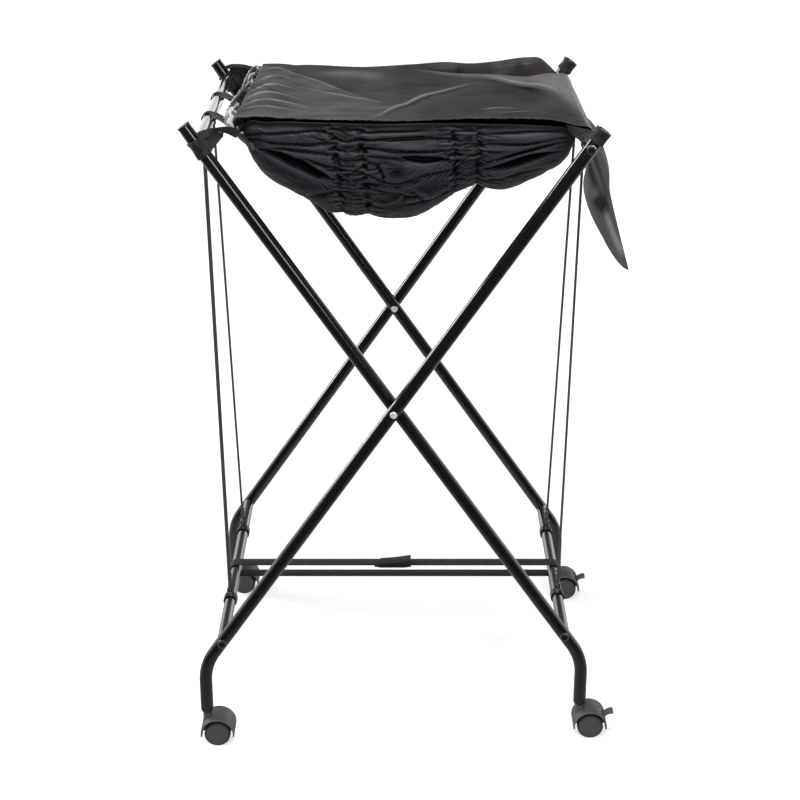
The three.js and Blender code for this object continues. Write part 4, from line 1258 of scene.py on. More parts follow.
def bag_grid():
    """The bag's cloth: its smooth shape, the settled cloth, the distance from the nearest thread
    and the share of a deep hollow, each on the grid."""
    cols, rows, fine_rows = 318, 296, 1600
    fine = bag_base(cols, fine_rows)
    # Rows are spread by length, closest on the front where the gathers show.
    length = np.linalg.norm(np.diff(fine[:, cols // 2], axis=0), axis=1)
    run = run_of(length)
    density = np.where(run < 0.17, 2.1, np.where(run > run[-1] - 0.12, 1.5, 1.0))
    spread = run_of((density[1:] + density[:-1]) / 2 * np.diff(run))
    pick = np.interp(np.linspace(0, spread[-1], rows), spread, np.arange(fine_rows))
    low = np.clip(pick.astype(int), 0, fine_rows - 2)
    share = (pick - low)[:, None, None]
    base = (1 - share) * fine[low] + share * fine[low + 1]
    out = -normals_of(base)
    down = np.linalg.norm(np.diff(base, axis=0), axis=-1)
    arc = np.concatenate([np.zeros((1, cols)), np.cumsum(down, axis=0)])
    x, z = base[..., 0], base[..., 2]
    from_hem = np.minimum(arc, arc[-1:] - arc)
    sunk = clamped(from_hem / 0.11)
    threads = np.stack([top + (low_x - top) * sunk for top, low_x in THREADS], -1)
    aside = np.abs(x[..., None] - threads)
    nearest = aside.min(axis=-1)
    slack = clamped(np.minimum(x - BAG_LEFT, BAG_RIGHT - x) / 0.02)
    edge = eased(clamped(from_hem / 0.012))
    # Panels billow between the pairs of threads; each thread lies in a groove.
    outer = np.stack([x - BAG_LEFT, BAG_RIGHT - x, nearest], -1).min(axis=-1)
    sunk_hem = clamped(from_hem / 0.055) ** 0.8
    lift = 0.007 * sunk_hem * np.sin(clamped(outer / 0.062) * math.pi / 2)
    lift = lift - 0.0028 * np.exp(-((nearest / 0.0035) ** 2))
    front = clamped((0.19 - arc) / 0.04)
    for line, depth, width, step in FOLDS:
        lift = lift + front * fold(x, z, line, 1.35 * depth, width, 1.5 * step)
    sunk_in, calm = 0 * x, 0 * x
    for line, depth, half_width in POCKETS:
        hollow = front * pocket(x, z, line, half_width)
        lift = lift - depth * hollow
        sunk_in = np.maximum(sunk_in, hollow)
        calm = np.maximum(calm, front * pocket(x, z, line, 2.0 * half_width))
    back = clamped((arc[-1:] - arc) / 0.04) * (1 - front)
    wander = 0.010 * noise(x / 0.045, arc / 0.05, 3) + 0.004 * noise(x / 0.016, arc / 0.02, 4)
    drag = 1 - 2.4 * np.abs(noise(x / 0.090, (arc + 1.3 * wander) / 0.020, 8))
    lift = lift + 0.0036 * drag * back * clamped(nearest / 0.02)
    # Puckers cross each thread 6 to 7 mm apart and run together away from it.
    reach = np.exp(-nearest / 0.012)
    fan = arc + 0.5 * wander * (1 - reach)
    pucker = 1 - 2.3 * np.abs(noise(x / 0.040, fan / 0.0068, 5))
    fine_pucker = 1 - 2.3 * np.abs(noise(x / 0.016, fan / 0.0042, 6))
    lift = lift + reach * (0.0024 * pucker + 0.0008 * fine_pucker) + (1 - reach) * 0.0009 * drag
    # The pleats are steep, so the lift is spread along the cloth before it is used.
    draped = base + out * (lift * slack * edge)[..., None]
    down = np.linalg.norm(np.diff(draped, axis=0), axis=-1)
    across = np.linalg.norm(np.diff(draped, axis=1), axis=-1)
    gather = 1.035 + 0.20 * reach
    rest_down = down * (gather[1:] + gather[:-1]) / 2
    rest_across = across * 1.004
    held = np.zeros(x.shape, bool)
    held[[0, -1]] = True
    held[:, [0, -1]] = True
    cap = (0.0016 + 0.0022 * reach) * np.clip(slack, 0.2, 1) * (1 - 0.9 * calm)
    ripple = (
        noise(x / 0.050, (arc + wander) / 0.0105, 9)
        + 0.6 * noise(x / 0.022, (arc - wander) / 0.0060, 7)
    )
    start = draped + out * (0.0007 * ripple * slack * edge * (1 - calm))[..., None]
    settled = settle(start, draped, rest_down, rest_across, held, cap)
    return base, settled, nearest, sunk_in


def hollows(grid, out):
    """How far a point's neighbours stand proud of it along out, as a slope, summed over three
    reaches: above zero in a valley and below it on a crest."""
    total = np.zeros(grid.shape[:2])
    for reach, weight in ((1, 0.5), (3, 1.0), (6, 1.0)):
        for axis in (0, 1):
            count = grid.shape[axis]
            before = grid.take(np.maximum(np.arange(count) - reach, 0), axis)
            after = grid.take(np.minimum(np.arange(count) + reach, count - 1), axis)
            bend = ((before + after - 2 * grid) * out).sum(axis=-1)
            inside = (np.arange(count) >= reach) & (np.arange(count) < count - reach)
            bend = bend * (inside[:, None] if axis == 0 else inside[None])
            total += weight * bend / (np.linalg.norm(after - before, axis=-1) / 2 + 1e-5)
    return total


def mark(piece, key, values):
    """Names a value for each point of a piece; points past the grid, such as poles, get zero."""
    filled = np.zeros(len(piece.data.vertices), np.float32)
    filled[: values.size] = values.ravel()
    piece.data.attributes.new(key, "FLOAT", "POINT").data.foreach_set("value", filled)


def cloth_piece(
    name, grid, finish, body, uv, thickness=0.0005, stands_for=None, slot=None, **marks,
):
    """A sheet from a grid of points, shaded smooth, with a thickness and named values."""
    piece = make(name, [patch(grid, uv=uv)], finish, body, stands_for, 180, closed=False, slot=slot)
    for key, values in marks.items():
        mark(piece, key, values)
    solid = piece.modifiers.new("thickness", "SOLIDIFY")
    solid.thickness = thickness
    solid.offset = 0
    return piece


def painted_fold_light(tree, base, valley, crest, sinks, rises):
    """A cloth colour with painted shade in its valleys and a painted highlight on its crests.
    Reads the piece's hollows; sinks and rises are the hollow values at which each starts and
    is complete."""
    hollow = add(tree, "Attribute", attribute_name="hollow").outputs["Fac"]
    sunk = add(tree, "MapRange", [hollow, *sinks, 0.0, 1.0])
    raised = add(tree, "MapRange", [hollow, -rises[0], -rises[1], 0.0, 1.0])
    dark = add(tree, "Mix", {"Factor": sunk, "A": base, "B": linear(valley)}, data_type="RGBA")
    return add(tree, "Mix", {"Factor": raised, "A": dark, "B": linear(crest)}, data_type="RGBA")


def nylon(tree):
    """Thin taffeta nylon: near-black with a cold violet tinge, a tight weave 0.35 mm across
    drawn a little coarser so that it shows, and a soft gloss on every pucker. Its valleys
    get painted shade and its crests a painted highlight."""
    at = add(tree, "TexCoord").outputs["Object"]
    weave = add(tree, "TexNoise", {"Vector": at, "Scale": 1400.0, "Detail": 2.0})
    crush = add(
        tree, "TexNoise", {"Vector": at, "Scale": 75.0, "Detail": 3.0, "Distortion": 0.5},
        noise_type="RIDGED_MULTIFRACTAL",
    )
    height = add(tree, "Math", [crush, 2.0, weave], operation="MULTIPLY_ADD")
    bump = add(tree, "Bump", {"Height": height, "Strength": 0.14, "Distance": 0.0008})
    seam = add(tree, "Attribute", attribute_name="seam").outputs["Fac"]
    stitched = add(tree, "MapRange", [seam, -0.0016, -0.0004, 0.3, 1.0])
    cloud = add(tree, "TexNoise", {"Vector": at, "Scale": 45.0, "Detail": 3.0})
    tone = add(
        tree, "Mix", {"Factor": cloud, "A": linear("0a080c"), "B": linear("110e14")},
        data_type="RGBA",
    )
    # Painted shade in the valleys and a painted highlight on the crests.
    fold_painted_tone = painted_fold_light(tree, tone, "020202", "2a272f", (0.05, 0.8), (0.15, 1.3))
    dark = add(
        tree, "Mix", {"Factor": stitched, "A": linear("030303"), "B": fold_painted_tone}, data_type="RGBA",
    )
    return add(tree, "BsdfPrincipled", {
        "Base Color": dark, "Roughness": 0.42, "Normal": bump, "Specular IOR Level": 0.28,
    })


def satin(tree, crest):
    """Coated satin: dark grey with a broad soft sheen across the weave's floats, lighter where
    it carries painted sheen, with a tone that varies at random, and a fine grain along the warp.
    Its crests take that colour as a painted highlight, and its valleys a painted shade."""
    at = add(tree, "UVMap", uv_map="cloth")
    floats = add(tree, "Mapping", {"Vector": at, "Scale": (1.0, 0.2, 1.0)})
    grain = add(tree, "TexNoise", {"Vector": floats, "Scale": 1300.0, "Detail": 2.0})
    crush = add(tree, "TexNoise", {"Vector": at, "Scale": 70.0, "Detail": 5.0, "Distortion": 0.6})
    height = add(tree, "Math", [crush, 3.0, grain], operation="MULTIPLY_ADD")
    bump = add(tree, "Bump", {"Height": height, "Strength": 0.14, "Distance": 0.0006})
    cloud = add(tree, "TexNoise", {"Vector": at, "Scale": 18.0, "Detail": 3.0})
    nap = add(tree, "Attribute", attribute_name="nap").outputs["Fac"]
    mottle_and_painted_sheen = add(tree, "Math", [cloud, 0.10, nap], operation="MULTIPLY_ADD")
    tone = add(
        tree, "Mix", {"Factor": mottle_and_painted_sheen, "A": linear("242225"), "B": linear("7c787d")},
        data_type="RGBA",
    )
    fold_painted_tone = painted_fold_light(tree, tone, "1a181a", crest, (0.15, 1.0), (0.5, 2.0))
    rough = add(tree, "MapRange", [nap, 0.0, 1.0, 0.72, 0.45])
    return add(tree, "BsdfPrincipled", {
        "Base Color": fold_painted_tone, "Roughness": rough, "Normal": bump, "Specular IOR Level": 0.12,
    })


bag_nylon = material("taffeta_nylon", "bag_nylon", nylon)
# The satin's crest colour is a painted highlight on the lid's creases.
lid_satin = material("coated_satin", "lid_satin", satin, "9a969b")
# The rim's copy of the satin has a brighter painted highlight on its crests.
rim_satin = material("crushed_satin", "lid_satin", satin, "e0dde2")


def with_bag(piece):
    """Gives a piece its own copy of its mesh, as crumple does."""
    return crumple(piece)


bag_smooth, bag_cloth, bag_seam, bag_sunk = bag_grid()
# The hollow value paints shade into the nylon's valleys and deep pockets, and a highlight on its
# crests.
bag_hollow = hollows(bag_cloth, -normals_of(bag_smooth)) + 1.2 * bag_sunk
half = 152
for name, rows in (("bag_front", np.s_[: half + 1, ::-1]), ("bag_back", np.s_[half:, ::-1])):
    part = bag_cloth[rows]
    with_bag(cloth_piece(
        name, part, bag_nylon, "bag", stands_for="bag" if name == "bag_front" else None,
        uv=(np.linspace(0, 0.3, len(part)), bag_smooth[0, :, 0] - BAG_LEFT),
        seam=0.0 - np.maximum(0.002 - bag_seam[rows], 0), hollow=bag_hollow[rows],
    ))

# ------------------------------------------------------------------ lid
LID_LEFT, LID_RIGHT = -0.222, 0.2297
LID_FRONT, LID_BACK = -0.153, 0.188
OVER_BAR = 0.0105  # radius of the lid's bend over the crossbar
# Creases of the lid: a line in X and Y, height, width, step and softness, as for the bag's
# folds. The first divides the left panel from the back one, the second runs from the front
# hem to the back, and the third is where the cloth starts to bend over the crossbar.
LEFT_RIDGE = smooth_path([
    (-0.216, 0.180), (-0.182, 0.142), (-0.153, 0.106), (-0.124, 0.074), (-0.090, 0.027),
    (-0.060, -0.010),
], 20)
LONG_CREASE = smooth_path([
    (-0.060, -0.152), (-0.039, -0.128), (-0.019, -0.073), (0.000, -0.035), (0.023, 0.017),
    (0.050, 0.060),
    (0.081, 0.106), (0.104, 0.136),
], 28)
BAR_RIDGE = smooth_path([
    (0.075, 0.174), (0.120, 0.160), (0.151, 0.130), (0.184, 0.106), (0.205, 0.062), (0.216, 0.020),
    (0.226, -0.030), (0.234, -0.090),
], 28)
LID_CREASES = [
    (LEFT_RIDGE, 0.0058, 0.0120, 0.0034, 0.0080),
    (LONG_CREASE, 0.0018, 0.0036, -0.0013, 0.0010),
    (BAR_RIDGE, 0.0036, 0.0090, -0.0040, 0.0060),
    ([(-0.140, 0.034), (-0.117, 0.012), (-0.089, -0.008), (-0.057, -0.023), (-0.022, -0.044)],
     0.0022, 0.0060, 0.0018, 0.0026),
    ([(-0.219, 0.030), (-0.205, 0.066), (-0.187, 0.082), (-0.150, 0.078)],
     0.0046, 0.0080, 0.0026, 0.0050),
    ([(-0.219, -0.020), (-0.201, 0.014), (-0.175, 0.024), (-0.135, 0.008)],
     0.0048, 0.0080, 0.0028, 0.0050),
    ([(-0.222, -0.060), (-0.202, -0.035), (-0.171, -0.030), (-0.125, -0.048)],
     0.0048, 0.0074, 0.0026, 0.0046),
    ([(-0.223, -0.098), (-0.199, -0.073), (-0.164, -0.078), (-0.115, -0.092)],
     0.0044, 0.0066, 0.0024, 0.0044),
    ([(-0.223, -0.126), (-0.202, -0.109), (-0.174, -0.110), (-0.130, -0.120)],
     0.0028, 0.0050, 0.0014, 0.0036),
    ([(-0.214, 0.110), (-0.200, 0.136), (-0.180, 0.140)], 0.0024, 0.0060, 0.0010, 0.0040),
    ([(-0.160, -0.116), (-0.105, -0.125), (-0.065, -0.117), (-0.042, -0.100)],
     0.0022, 0.0080, 0.0012, 0.0060),
    ([(0.092, -0.090), (0.122, -0.077), (0.150, -0.084)], 0.0022, 0.0040, 0.0012, 0.0010),
    ([(0.110, -0.116), (0.128, -0.114), (0.160, -0.106), (0.188, -0.116)],
     0.0018, 0.0040, 0.0010, 0.0015),
    ([(0.060, 0.000), (0.120, 0.020), (0.190, 0.010)], 0.0014, 0.0140, 0.0006, 0.0100),
    ([(-0.010, 0.178), (0.037, 0.182), (0.083, 0.171)], 0.0030, 0.0060, -0.0010, 0.0020),
]


def lid_height(x, y):
    """Height of the lid over the bag: a plane that dips in the middle, creases and wrinkles."""
    front = curve_through(
        x, [-0.222, -0.20, -0.15, -0.05, 0.01, 0.05, 0.112, 0.15, 0.207, 0.23, 0.25],
        [0.8885, 0.8900, 0.8875, 0.8855, 0.8848, 0.8870, 0.8885, 0.8875, 0.8845, 0.8805, 0.878],
    )
    back = curve_through(
        x, [-0.222, -0.185, -0.15, -0.06, 0.01, 0.057, 0.137, 0.172, 0.237, 0.25],
        [0.892, 0.893, 0.8895, 0.8875, 0.8850, 0.8790, 0.8755, 0.8730, 0.881, 0.879],
    )
    share = (y - LID_FRONT) / (LID_BACK - LID_FRONT)
    middle = np.sin(clamped(share) * math.pi)
    z = (
        front + (back - front) * share
        - 0.0050 * middle * np.sin(clamped((x + 0.222) / 0.45) * math.pi)
    )
    rise = 0 * x
    for line, height, width, step, soft in LID_CREASES:
        rise = rise - fold(x, y, smooth_path(line, max(len(line), 12)), height, width, step, soft)
    rise += 0.0018 * noise(x / 0.085, y / 0.065, 11) + 0.0011 * noise(x / 0.040, y / 0.034, 12)
    left = np.exp(-(x + 0.222) / 0.05)
    rise += 0.0011 * left * noise((y + 0.7 * x) / 0.013, x / 0.09, 13)
    return z + rise * clamped(0.25 + 2.2 * middle)


lid_cols, lid_rows, lid_split = 276, 176, 200
# The hanging corner: the hem's places, from where it leaves the crossbar to its tip, and how
# far the cloth bows along X between the bar and the hem, from its back to its front edge.
FLAP_FROM = -0.045
FLAP_SHARE = [0.0, 0.25, 0.5, 0.75, 1.0]
FLAP_HEM = [
    [0.2405, 0.2625, 0.2690, 0.2785, 0.2900], [-0.045, -0.085, -0.120, -0.155, -0.190],
    [0.8580, 0.8230, 0.7820, 0.7400, 0.6945],
]
FLAP_BOW = [0.0, 0.008, 0.005, -0.009, -0.013, -0.015, -0.027]
FLAP_BOW_AT = [0.0, 0.25, 0.45, 0.56, 0.7, 0.85, 1.0]
# The fold's lip, as shares of the way to the front edge and down to the hem.
FLAP_LIP = [(0.99, 0.30), (0.90, 0.50), (0.80, 0.62), (0.76, 0.74), (0.80, 0.86), (0.88, 0.97)]
LONGEST_HANG = 0.185


def lid_grid():
    """The lid's sheet: across the bag, over the right crossbar on a quarter circle, and on to
    its hem: a short one along most of the bar, and a pointed corner at the front. Between the
    bar and the hem the cloth runs straight but for a bow, a power of a sine."""
    y = LID_FRONT + (LID_BACK - LID_FRONT) * np.linspace(0, 1, lid_rows)[:, None]
    share = clamped((FLAP_FROM - y) / (FLAP_FROM - LID_FRONT))
    flat_run = LID_RIGHT - LID_LEFT
    across = np.linspace(0, 1, lid_split)[None]
    left_edge = curve_through(
        y, [-0.155, -0.13, -0.06, 0.03, 0.12, 0.19],
        [-0.2255, -0.2235, -0.2215, -0.2175, -0.2145, -0.2125],
    )
    flat_x = left_edge + (LID_RIGHT - left_edge) * across
    flat_y = y + 0 * flat_x
    bar_top = bar_at["top_right"][2] + OVER_BAR
    near = eased(clamped((flat_x - 0.170) / (LID_RIGHT - 0.170)) ** 1.5)
    flat_z = (
        lid_height(flat_x, flat_y) * (1 - near)
        + (bar_top + 0.0012 + 0.0006 * noise(flat_y / 0.02, 0 * flat_y, 21)) * near
    )
    # A folded and stitched hem along the front edge draws up into small waves.
    hem_ripple = noise(flat_x / 0.0045, 0 * flat_x, 22)
    flat_z += 0.0007 * hem_ripple * np.exp(-(flat_y - LID_FRONT) / 0.006)
    quarter = np.linspace(0, math.pi / 2, 13)[None, 1:]
    bend_x = LID_RIGHT + OVER_BAR * np.sin(quarter) + 0 * y
    bend_z = flat_z[:, -1:] - OVER_BAR * (1 - np.cos(quarter))
    top = np.concatenate([bend_x[:, -1:], y, bend_z[:, -1:]], axis=1)
    hem = np.stack([curve_through(share[:, 0], FLAP_SHARE, values) for values in FLAP_HEM], 1)
    hem[:, 1] = np.where(share[:, 0] > 0, hem[:, 1], y[:, 0])
    hang = np.linspace(0, 1, lid_cols - lid_split - 11)[None, 1:, None]
    sheet = top[:, None] * (1 - hang) + hem[:, None] * hang
    swell = np.sin(hang[..., 0] * math.pi) ** 0.6
    sheet[..., 0] += curve_through(share, FLAP_BOW_AT, FLAP_BOW) * swell
    sheet[..., 0] += 0.0026 * np.sin(share * 11 + hang[..., 0] * 2.5) * swell * clamped(share * 3)
    far, _, aside = line_distance(share + 0 * hang[..., 0], hang[..., 0] + 0 * share, FLAP_LIP)
    turned_in = np.tanh(aside / 0.03) * np.exp(-((far / 0.22) ** 2)) * swell
    sheet += turned_in[..., None] * np.array([-0.0050, -0.0040, 0.0])
    sheet[..., 1] -= 0.010 * swell * share**2
    points = np.concatenate([
        np.stack([flat_x, flat_y, flat_z], -1), np.stack([bend_x, y + 0 * bend_x, bend_z], -1),
        sheet,
    ], axis=1)
    run = np.concatenate([
        flat_run * across[0], flat_run + OVER_BAR * quarter[0],
        flat_run + OVER_BAR * math.pi / 2 + LONGEST_HANG * hang[0, :, 0],
    ])
    return points, run


def painted_light_on_lid(grid):
    """How much painted sheen the lid gets, from 0 to 1, with some random tone. Each panel between
    creases has its own painted level, and painted highlights lie in patches and along the hem."""
    x, y = grid[..., 0], grid[..., 1]

    def past(line, blur):
        return 0.5 - 0.5 * np.tanh(line_distance(x, y, line)[2] / blur)

    def painted_sheen_patch(at_x, at_y, wide, deep):
        return np.exp(-(((x - at_x) / wide) ** 2) - ((y - at_y) / deep) ** 2)

    left = past(LONG_CREASE, 0.004)
    behind = past(LEFT_RIDGE, 0.008)
    over = past(BAR_RIDGE, 0.010)
    near = np.exp(-((line_distance(x, y, LONG_CREASE)[0] / 0.030) ** 2))
    # Each panel between the creases gets its own level of painted sheen.
    nap = 0.06 + 0.21 * left - 0.16 * left * behind + 0.10 * near * (1 - left)
    # The long crease gets a painted highlight, a fine bright line; the rest varies at random.
    sharp, share, _ = line_distance(x, y, LONG_CREASE)
    nap += 0.44 * np.exp(-((sharp / 0.0023) ** 2)) * np.sin(
        np.clip(share, 0.04, 0.96) * math.pi
    ) ** 0.7
    nap += left * (1 - behind) * 0.13 * noise((x + 0.7 * y) / 0.050, (y - 0.4 * x) / 0.019, 15)
    nap += (
        0.05 * noise(x / 0.028, y / 0.046, 16)
        + 0.05 * left * behind * noise(x / 0.030, y / 0.016, 17)
    )
    # A painted highlight along the front hem, and painted sheen in soft patches.
    nap += 0.12 * np.exp(-(((y - LID_FRONT - 0.004) / 0.003) ** 2))
    nap += 0.36 * painted_sheen_patch(-0.092, 0.142, 0.030, 0.022) + 0.30 * painted_sheen_patch(-0.052, 0.132, 0.020, 0.024)
    nap += 0.14 * painted_sheen_patch(-0.100, -0.118, 0.060, 0.020) + 0.10 * painted_sheen_patch(0.125, -0.095, 0.020, 0.020)
    flat = grid[..., 2] > bar_at["top_right"][2]
    return nap, over * flat


lid_points, lid_run = lid_grid()
# The lid's hollows paint shade into its valleys and a highlight on its crests.
lid_hollow = hollows(lid_points, normals_of(lid_points))
lid_painted_light_and_tone, lid_over = painted_light_on_lid(lid_points)
# On the hanging corner the cloth gets painted shade in the hollow of its fold, and a
# painted highlight along the front edge and the fold's lower lip.
flap_share, flap_hang = np.broadcast_arrays(
    clamped((FLAP_FROM - lid_points[:, :1, 1]) / (FLAP_FROM - LID_FRONT)),
    clamped((lid_run[None] - (LID_RIGHT - LID_LEFT) - 0.016) / LONGEST_HANG),
)
hanging = clamped(flap_hang / 0.04)
lip, inside_fold = (
    line_distance(flap_share, flap_hang, line)[0]
    for line in (
        FLAP_LIP, smooth_path([(0.93, 0.28), (0.87, 0.42), (0.79, 0.60), (0.70, 0.80)], 12),
    )
)
edge_painted_highlight = 0.66 * np.exp(-(((1 - flap_share) / 0.09) ** 2)) * clamped(1.6 - 2.4 * flap_hang)
shaded = hanging * np.exp(-((inside_fold / 0.066) ** 2))
# Painted light on the cloth beyond the ridge over the right crossbar.
lid_painted_light_and_tone = lid_painted_light_and_tone + 0.78 * lid_over * (1 - hanging)
lid_painted_light_and_tone = lid_painted_light_and_tone + hanging * (0.24 - lid_painted_light_and_tone + edge_painted_highlight + 0.62 * np.exp(-((lip / 0.042) ** 2)))
lid_painted_light_and_tone = clamped(lid_painted_light_and_tone * (1 - 0.9 * shaded))
lid_hollow = lid_hollow + 1.05 * shaded
# The sheet is drawn in two layers that meet where it starts to bend over the crossbar.
lid_layers = [
    cloth_piece(
        name, lid_points[part][::-1], lid_satin, "lid", thickness=0.0008, stands_for=stand_in,
        uv=(np.linspace(0, LID_BACK - LID_FRONT, lid_rows), lid_run[part[1]]),
        hollow=lid_hollow[part][::-1], nap=lid_painted_light_and_tone[part][::-1],
    )
    for name, part, stand_in in (
        ("lid_sheet", np.s_[:, :lid_split], "lid"),
        ("lid_over_bar", np.s_[:, lid_split - 1 :], None),
    )
]
lid, lid_over = lid_layers
crumple(lid)
travel_in_fold(lid_over)

# ------------------------------------------------------------------ what ties the bag to the frame


def ribbon(path, across, width, thickness, scale=1.0):
    """Tape along a path of points, its width laid along the direction across at each step."""
    along = tangents(path)
    across = unit(across - (across * along).sum(axis=1, keepdims=True) * along)
    return carried(tape_section(width, thickness), path, across, np.cross(across, along), scale)


# Left rim: a casing drawn up by elastic. Its radius follows pleats across the rim, whose
# crests wander, and its middle bows out between the two loops that hold it.
rim_rows, rim_cols = 420, 44
rim_run = np.linspace(0, 1, rim_rows)
RIM_BACK, RIM_FRONT = 0.192, -0.156
rim_bow = curve_through(
    rim_run, [0, 0.2, 0.45, 0.62, 0.75, 0.88, 1.0], [0.0, 0.002, 0.004, 0.0085, 0.0115, 0.009, 0.0],
)
rim_centre = np.stack([
    -0.2205 - rim_bow, RIM_BACK + (RIM_FRONT - RIM_BACK) * rim_run,
    curve_through(rim_run, [0, 0.3, 0.6, 0.85, 1.0], [0.886, 0.881, 0.878, 0.876, 0.869]),
], 1)
c, s = (way[None] for way in circle(rim_cols))
rim_arc = (rim_run * 0.35)[:, None]
drift = noise(rim_arc / 0.020, c * 1.8, 31)
pleats = 1 - 2.3 * np.abs(
    noise(rim_arc / 0.050 + 0.9 * c + 0.5 * drift, 4.2 * s + rim_arc / 0.028 + 0.6 * drift, 32)
)
pleats += (
    0.6
    - 1.4 * np.abs(noise(rim_arc / 0.020 + 0.8 * s, 4.6 * c + rim_arc / 0.040 + 0.5 * drift, 33))
)
rim_size = np.clip(curve_through(
    rim_run, [0, 0.06, 0.3, 0.6, 0.9, 1.0], [0.004, 0.0070, 0.0082, 0.0092, 0.0085, 0.0050],
), 0.003, 1)[:, None]
rim_radius = rim_size * (1 + 0.26 * pleats)
rim_points = rim_centre[:, None] + np.stack([
    1.05 * rim_radius * c, 0.0022 * noise(rim_arc / 0.012, s * 2, 34) + 0 * c,
    0.85 * rim_radius * s,
], -1)
rim_uv = (np.linspace(0, 0.35, rim_rows), np.linspace(0, 0.06, rim_cols + 1))
rim_shell = patch(rim_points, around=True, poles=True, uv=rim_uv)
rim = with_bag(make("bag_left_rim", [rim_shell], rim_satin, "bag", crease=180))
# Painted shade in the troughs of the pleats and a painted highlight on their crests.
mark(rim, "hollow", 0.75 - 1.9 * pleats)
mark(rim, "nap", clamped(0.15 + 0.55 * pleats))

LOOP_WIDTH = 0.0130
LOOPS = [(0.063, (-0.2420, 0.022, 0.874)), (-0.062, (-0.2330, -0.114, 0.870))]
for number, (loop_y, end_at) in enumerate(LOOPS, 1):
    middle = bar_at["top_left"] + [0, loop_y, 0]
    circle_part = middle + 0.0094 * spokes_at(np.radians(np.linspace(62, 300, 30)))
    reach = np.linspace(0, 1, 12)[:, None]
    over = end_at + (circle_part[0] - end_at) * reach + [0, 0, 0.0016] * np.sin(reach * math.pi)
    # The lower layer comes up to the upper one just past the bar, and is sewn to it from there.
    meet = over[::-1] - [0, 0, 0.0017]
    closing = clamped(reach / 0.35) ** 0.6
    back = meet * closing + (1 - closing) * (circle_part[-1] + (meet[-1] - circle_part[-1]) * reach)
    path = np.concatenate([over[:-1], circle_part, back[1:]])
    # The tape round the bar is one piece, and its runs beyond it to the rim another.
    upper, round_bar, lower = (
        ribbon(path[run], Y_AXIS, LOOP_WIDTH, TAPE_THICKNESS)
        for run in (slice(12), slice(10, 43), slice(41, None))
    )
    webbing_piece(f"bag_loop_{number}", [round_bar])
    crumple(webbing_piece(f"bag_loop_{number}_band", [upper, lower]))

# Front left corner: a twisted webbing strap from the sleeve to the bag's corner, and a flat
# web sewn between the sleeve and the strap.
strap_points = smooth_path([
    (-0.2720, -0.2090, 0.8740), (-0.2640, -0.2050, 0.8775), (-0.2560, -0.1985, 0.8790),
    (-0.2480, -0.1930, 0.8800), (-0.2410, -0.1880, 0.8812), (-0.2345, -0.1830, 0.8805),
    (-0.2276, -0.1740, 0.8765), (-0.2215, -0.1610, 0.8695),
], 60)
twist = np.linspace(0, 1, 60)
lean = (
    0.9 - 1.6 * np.sin(clamped((twist - 0.30) / 0.30) * QUARTER_TURN)
    + 0.9 * clamped((twist - 0.7) / 0.3)
)
across = np.stack([0.30 + 0 * lean, np.sin(lean), np.cos(lean)], 1)
with_bag(webbing_piece(
    "corner_strap_front_left", [ribbon(strap_points, across, 0.0110, TAPE_THICKNESS)],
))
# The bag's front edge is bound with the lid's satin where the strap pulls on it.
binding_path = smooth_path([
    (-0.2250, -0.1590, 0.8725), (-0.2170, -0.1590, 0.8655), (-0.2060, -0.1585, 0.8550),
    (-0.1950, -0.1580, 0.8465),
], 40)
binding_run = np.linspace(0, 1, 40)
crumpling = 0.5 * noise(binding_run * 7, 0 * binding_run, 53)[:, None]
binding_across = [0.55, -0.35, 0.75] + crumpling * [0.0, 1.0, 0.4]
binding_size = 0.15 + 0.85 * np.sin((0.15 + 0.83 * binding_run) * math.pi)
binding = with_bag(make(
    "corner_binding_front_left",
    [ribbon(binding_path, binding_across, 0.0110, 0.0012, binding_size)], lid_satin, "bag",
    crease=70,
))
binding_at = np.array([v.co for v in binding.data.vertices])
binding_lie = noise(binding_at[:, 0] / 0.0030, binding_at[:, 1] / 0.0016, 54)
mark(binding, "nap", clamped(0.10 + 0.35 * binding_lie))


def web(name, corners, bulge, finish=webbing_tape):
    """Panel between four corners: a bilinear patch whose middle bulges along its normal and
    whose threads ripple, with a thickness."""
    a, b, c, d = (np.array(p, float) for p in corners)
    rows, cols = 24, 28
    u, v = np.linspace(0, 1, cols)[None, :, None], np.linspace(0, 1, rows)[:, None, None]
    grid = (1 - v) * ((1 - u) * a + u * b) + v * ((1 - u) * d + u * c)
    ripple = noise(u[..., 0] * 5, v[..., 0] * 4, 41)[..., None]
    lift = bulge * np.sin(u * math.pi) * np.sin(v * math.pi) + 0.0007 * ripple
    uv = (np.linspace(0, 0.03, rows), np.linspace(0, 0.03, cols))
    return cloth_piece(name, grid + lift * unit(np.cross(b - a, d - a)), finish, "bag", uv,
                       thickness=0.0012, slot="webbing")


front_ties = [binding, web("corner_web_front_left", [
    (-0.2690, -0.2085, 0.8790), (-0.2360, -0.1830, 0.8770),
    (-0.2370, -0.1850, 0.8715), (-0.2505, -0.2080, 0.8580),
], 0.0012)]
back_ties = [web("corner_web_back_left", [
    (-0.2650, 0.2050, 0.8860), (-0.2250, 0.1930, 0.8840),
    (-0.2260, 0.1880, 0.8790), (-0.2530, 0.1960, 0.8480),
], 0.0030, bag_nylon)]
hem_path = smooth_path([
    (-0.2700, 0.2050, 0.8830), (-0.2600, 0.2030, 0.8865), (-0.2450, 0.1990, 0.8870),
    (-0.2300, 0.1940, 0.8850), (-0.2200, 0.1910, 0.8840),
], 40)
with_bag(webbing_piece(
    "corner_strap_back_left", [ribbon(hem_path, np.array([0, 0.5, 0.9]), 0.006, TAPE_THICKNESS)],
))
front_ties.append(web("corner_web_front_right", [
    (0.2050, -0.1580, 0.8800), (0.2380, -0.2150, 0.8850),
    (0.2260, -0.2160, 0.8660), (0.2120, -0.1650, 0.8690),
], 0.0012))

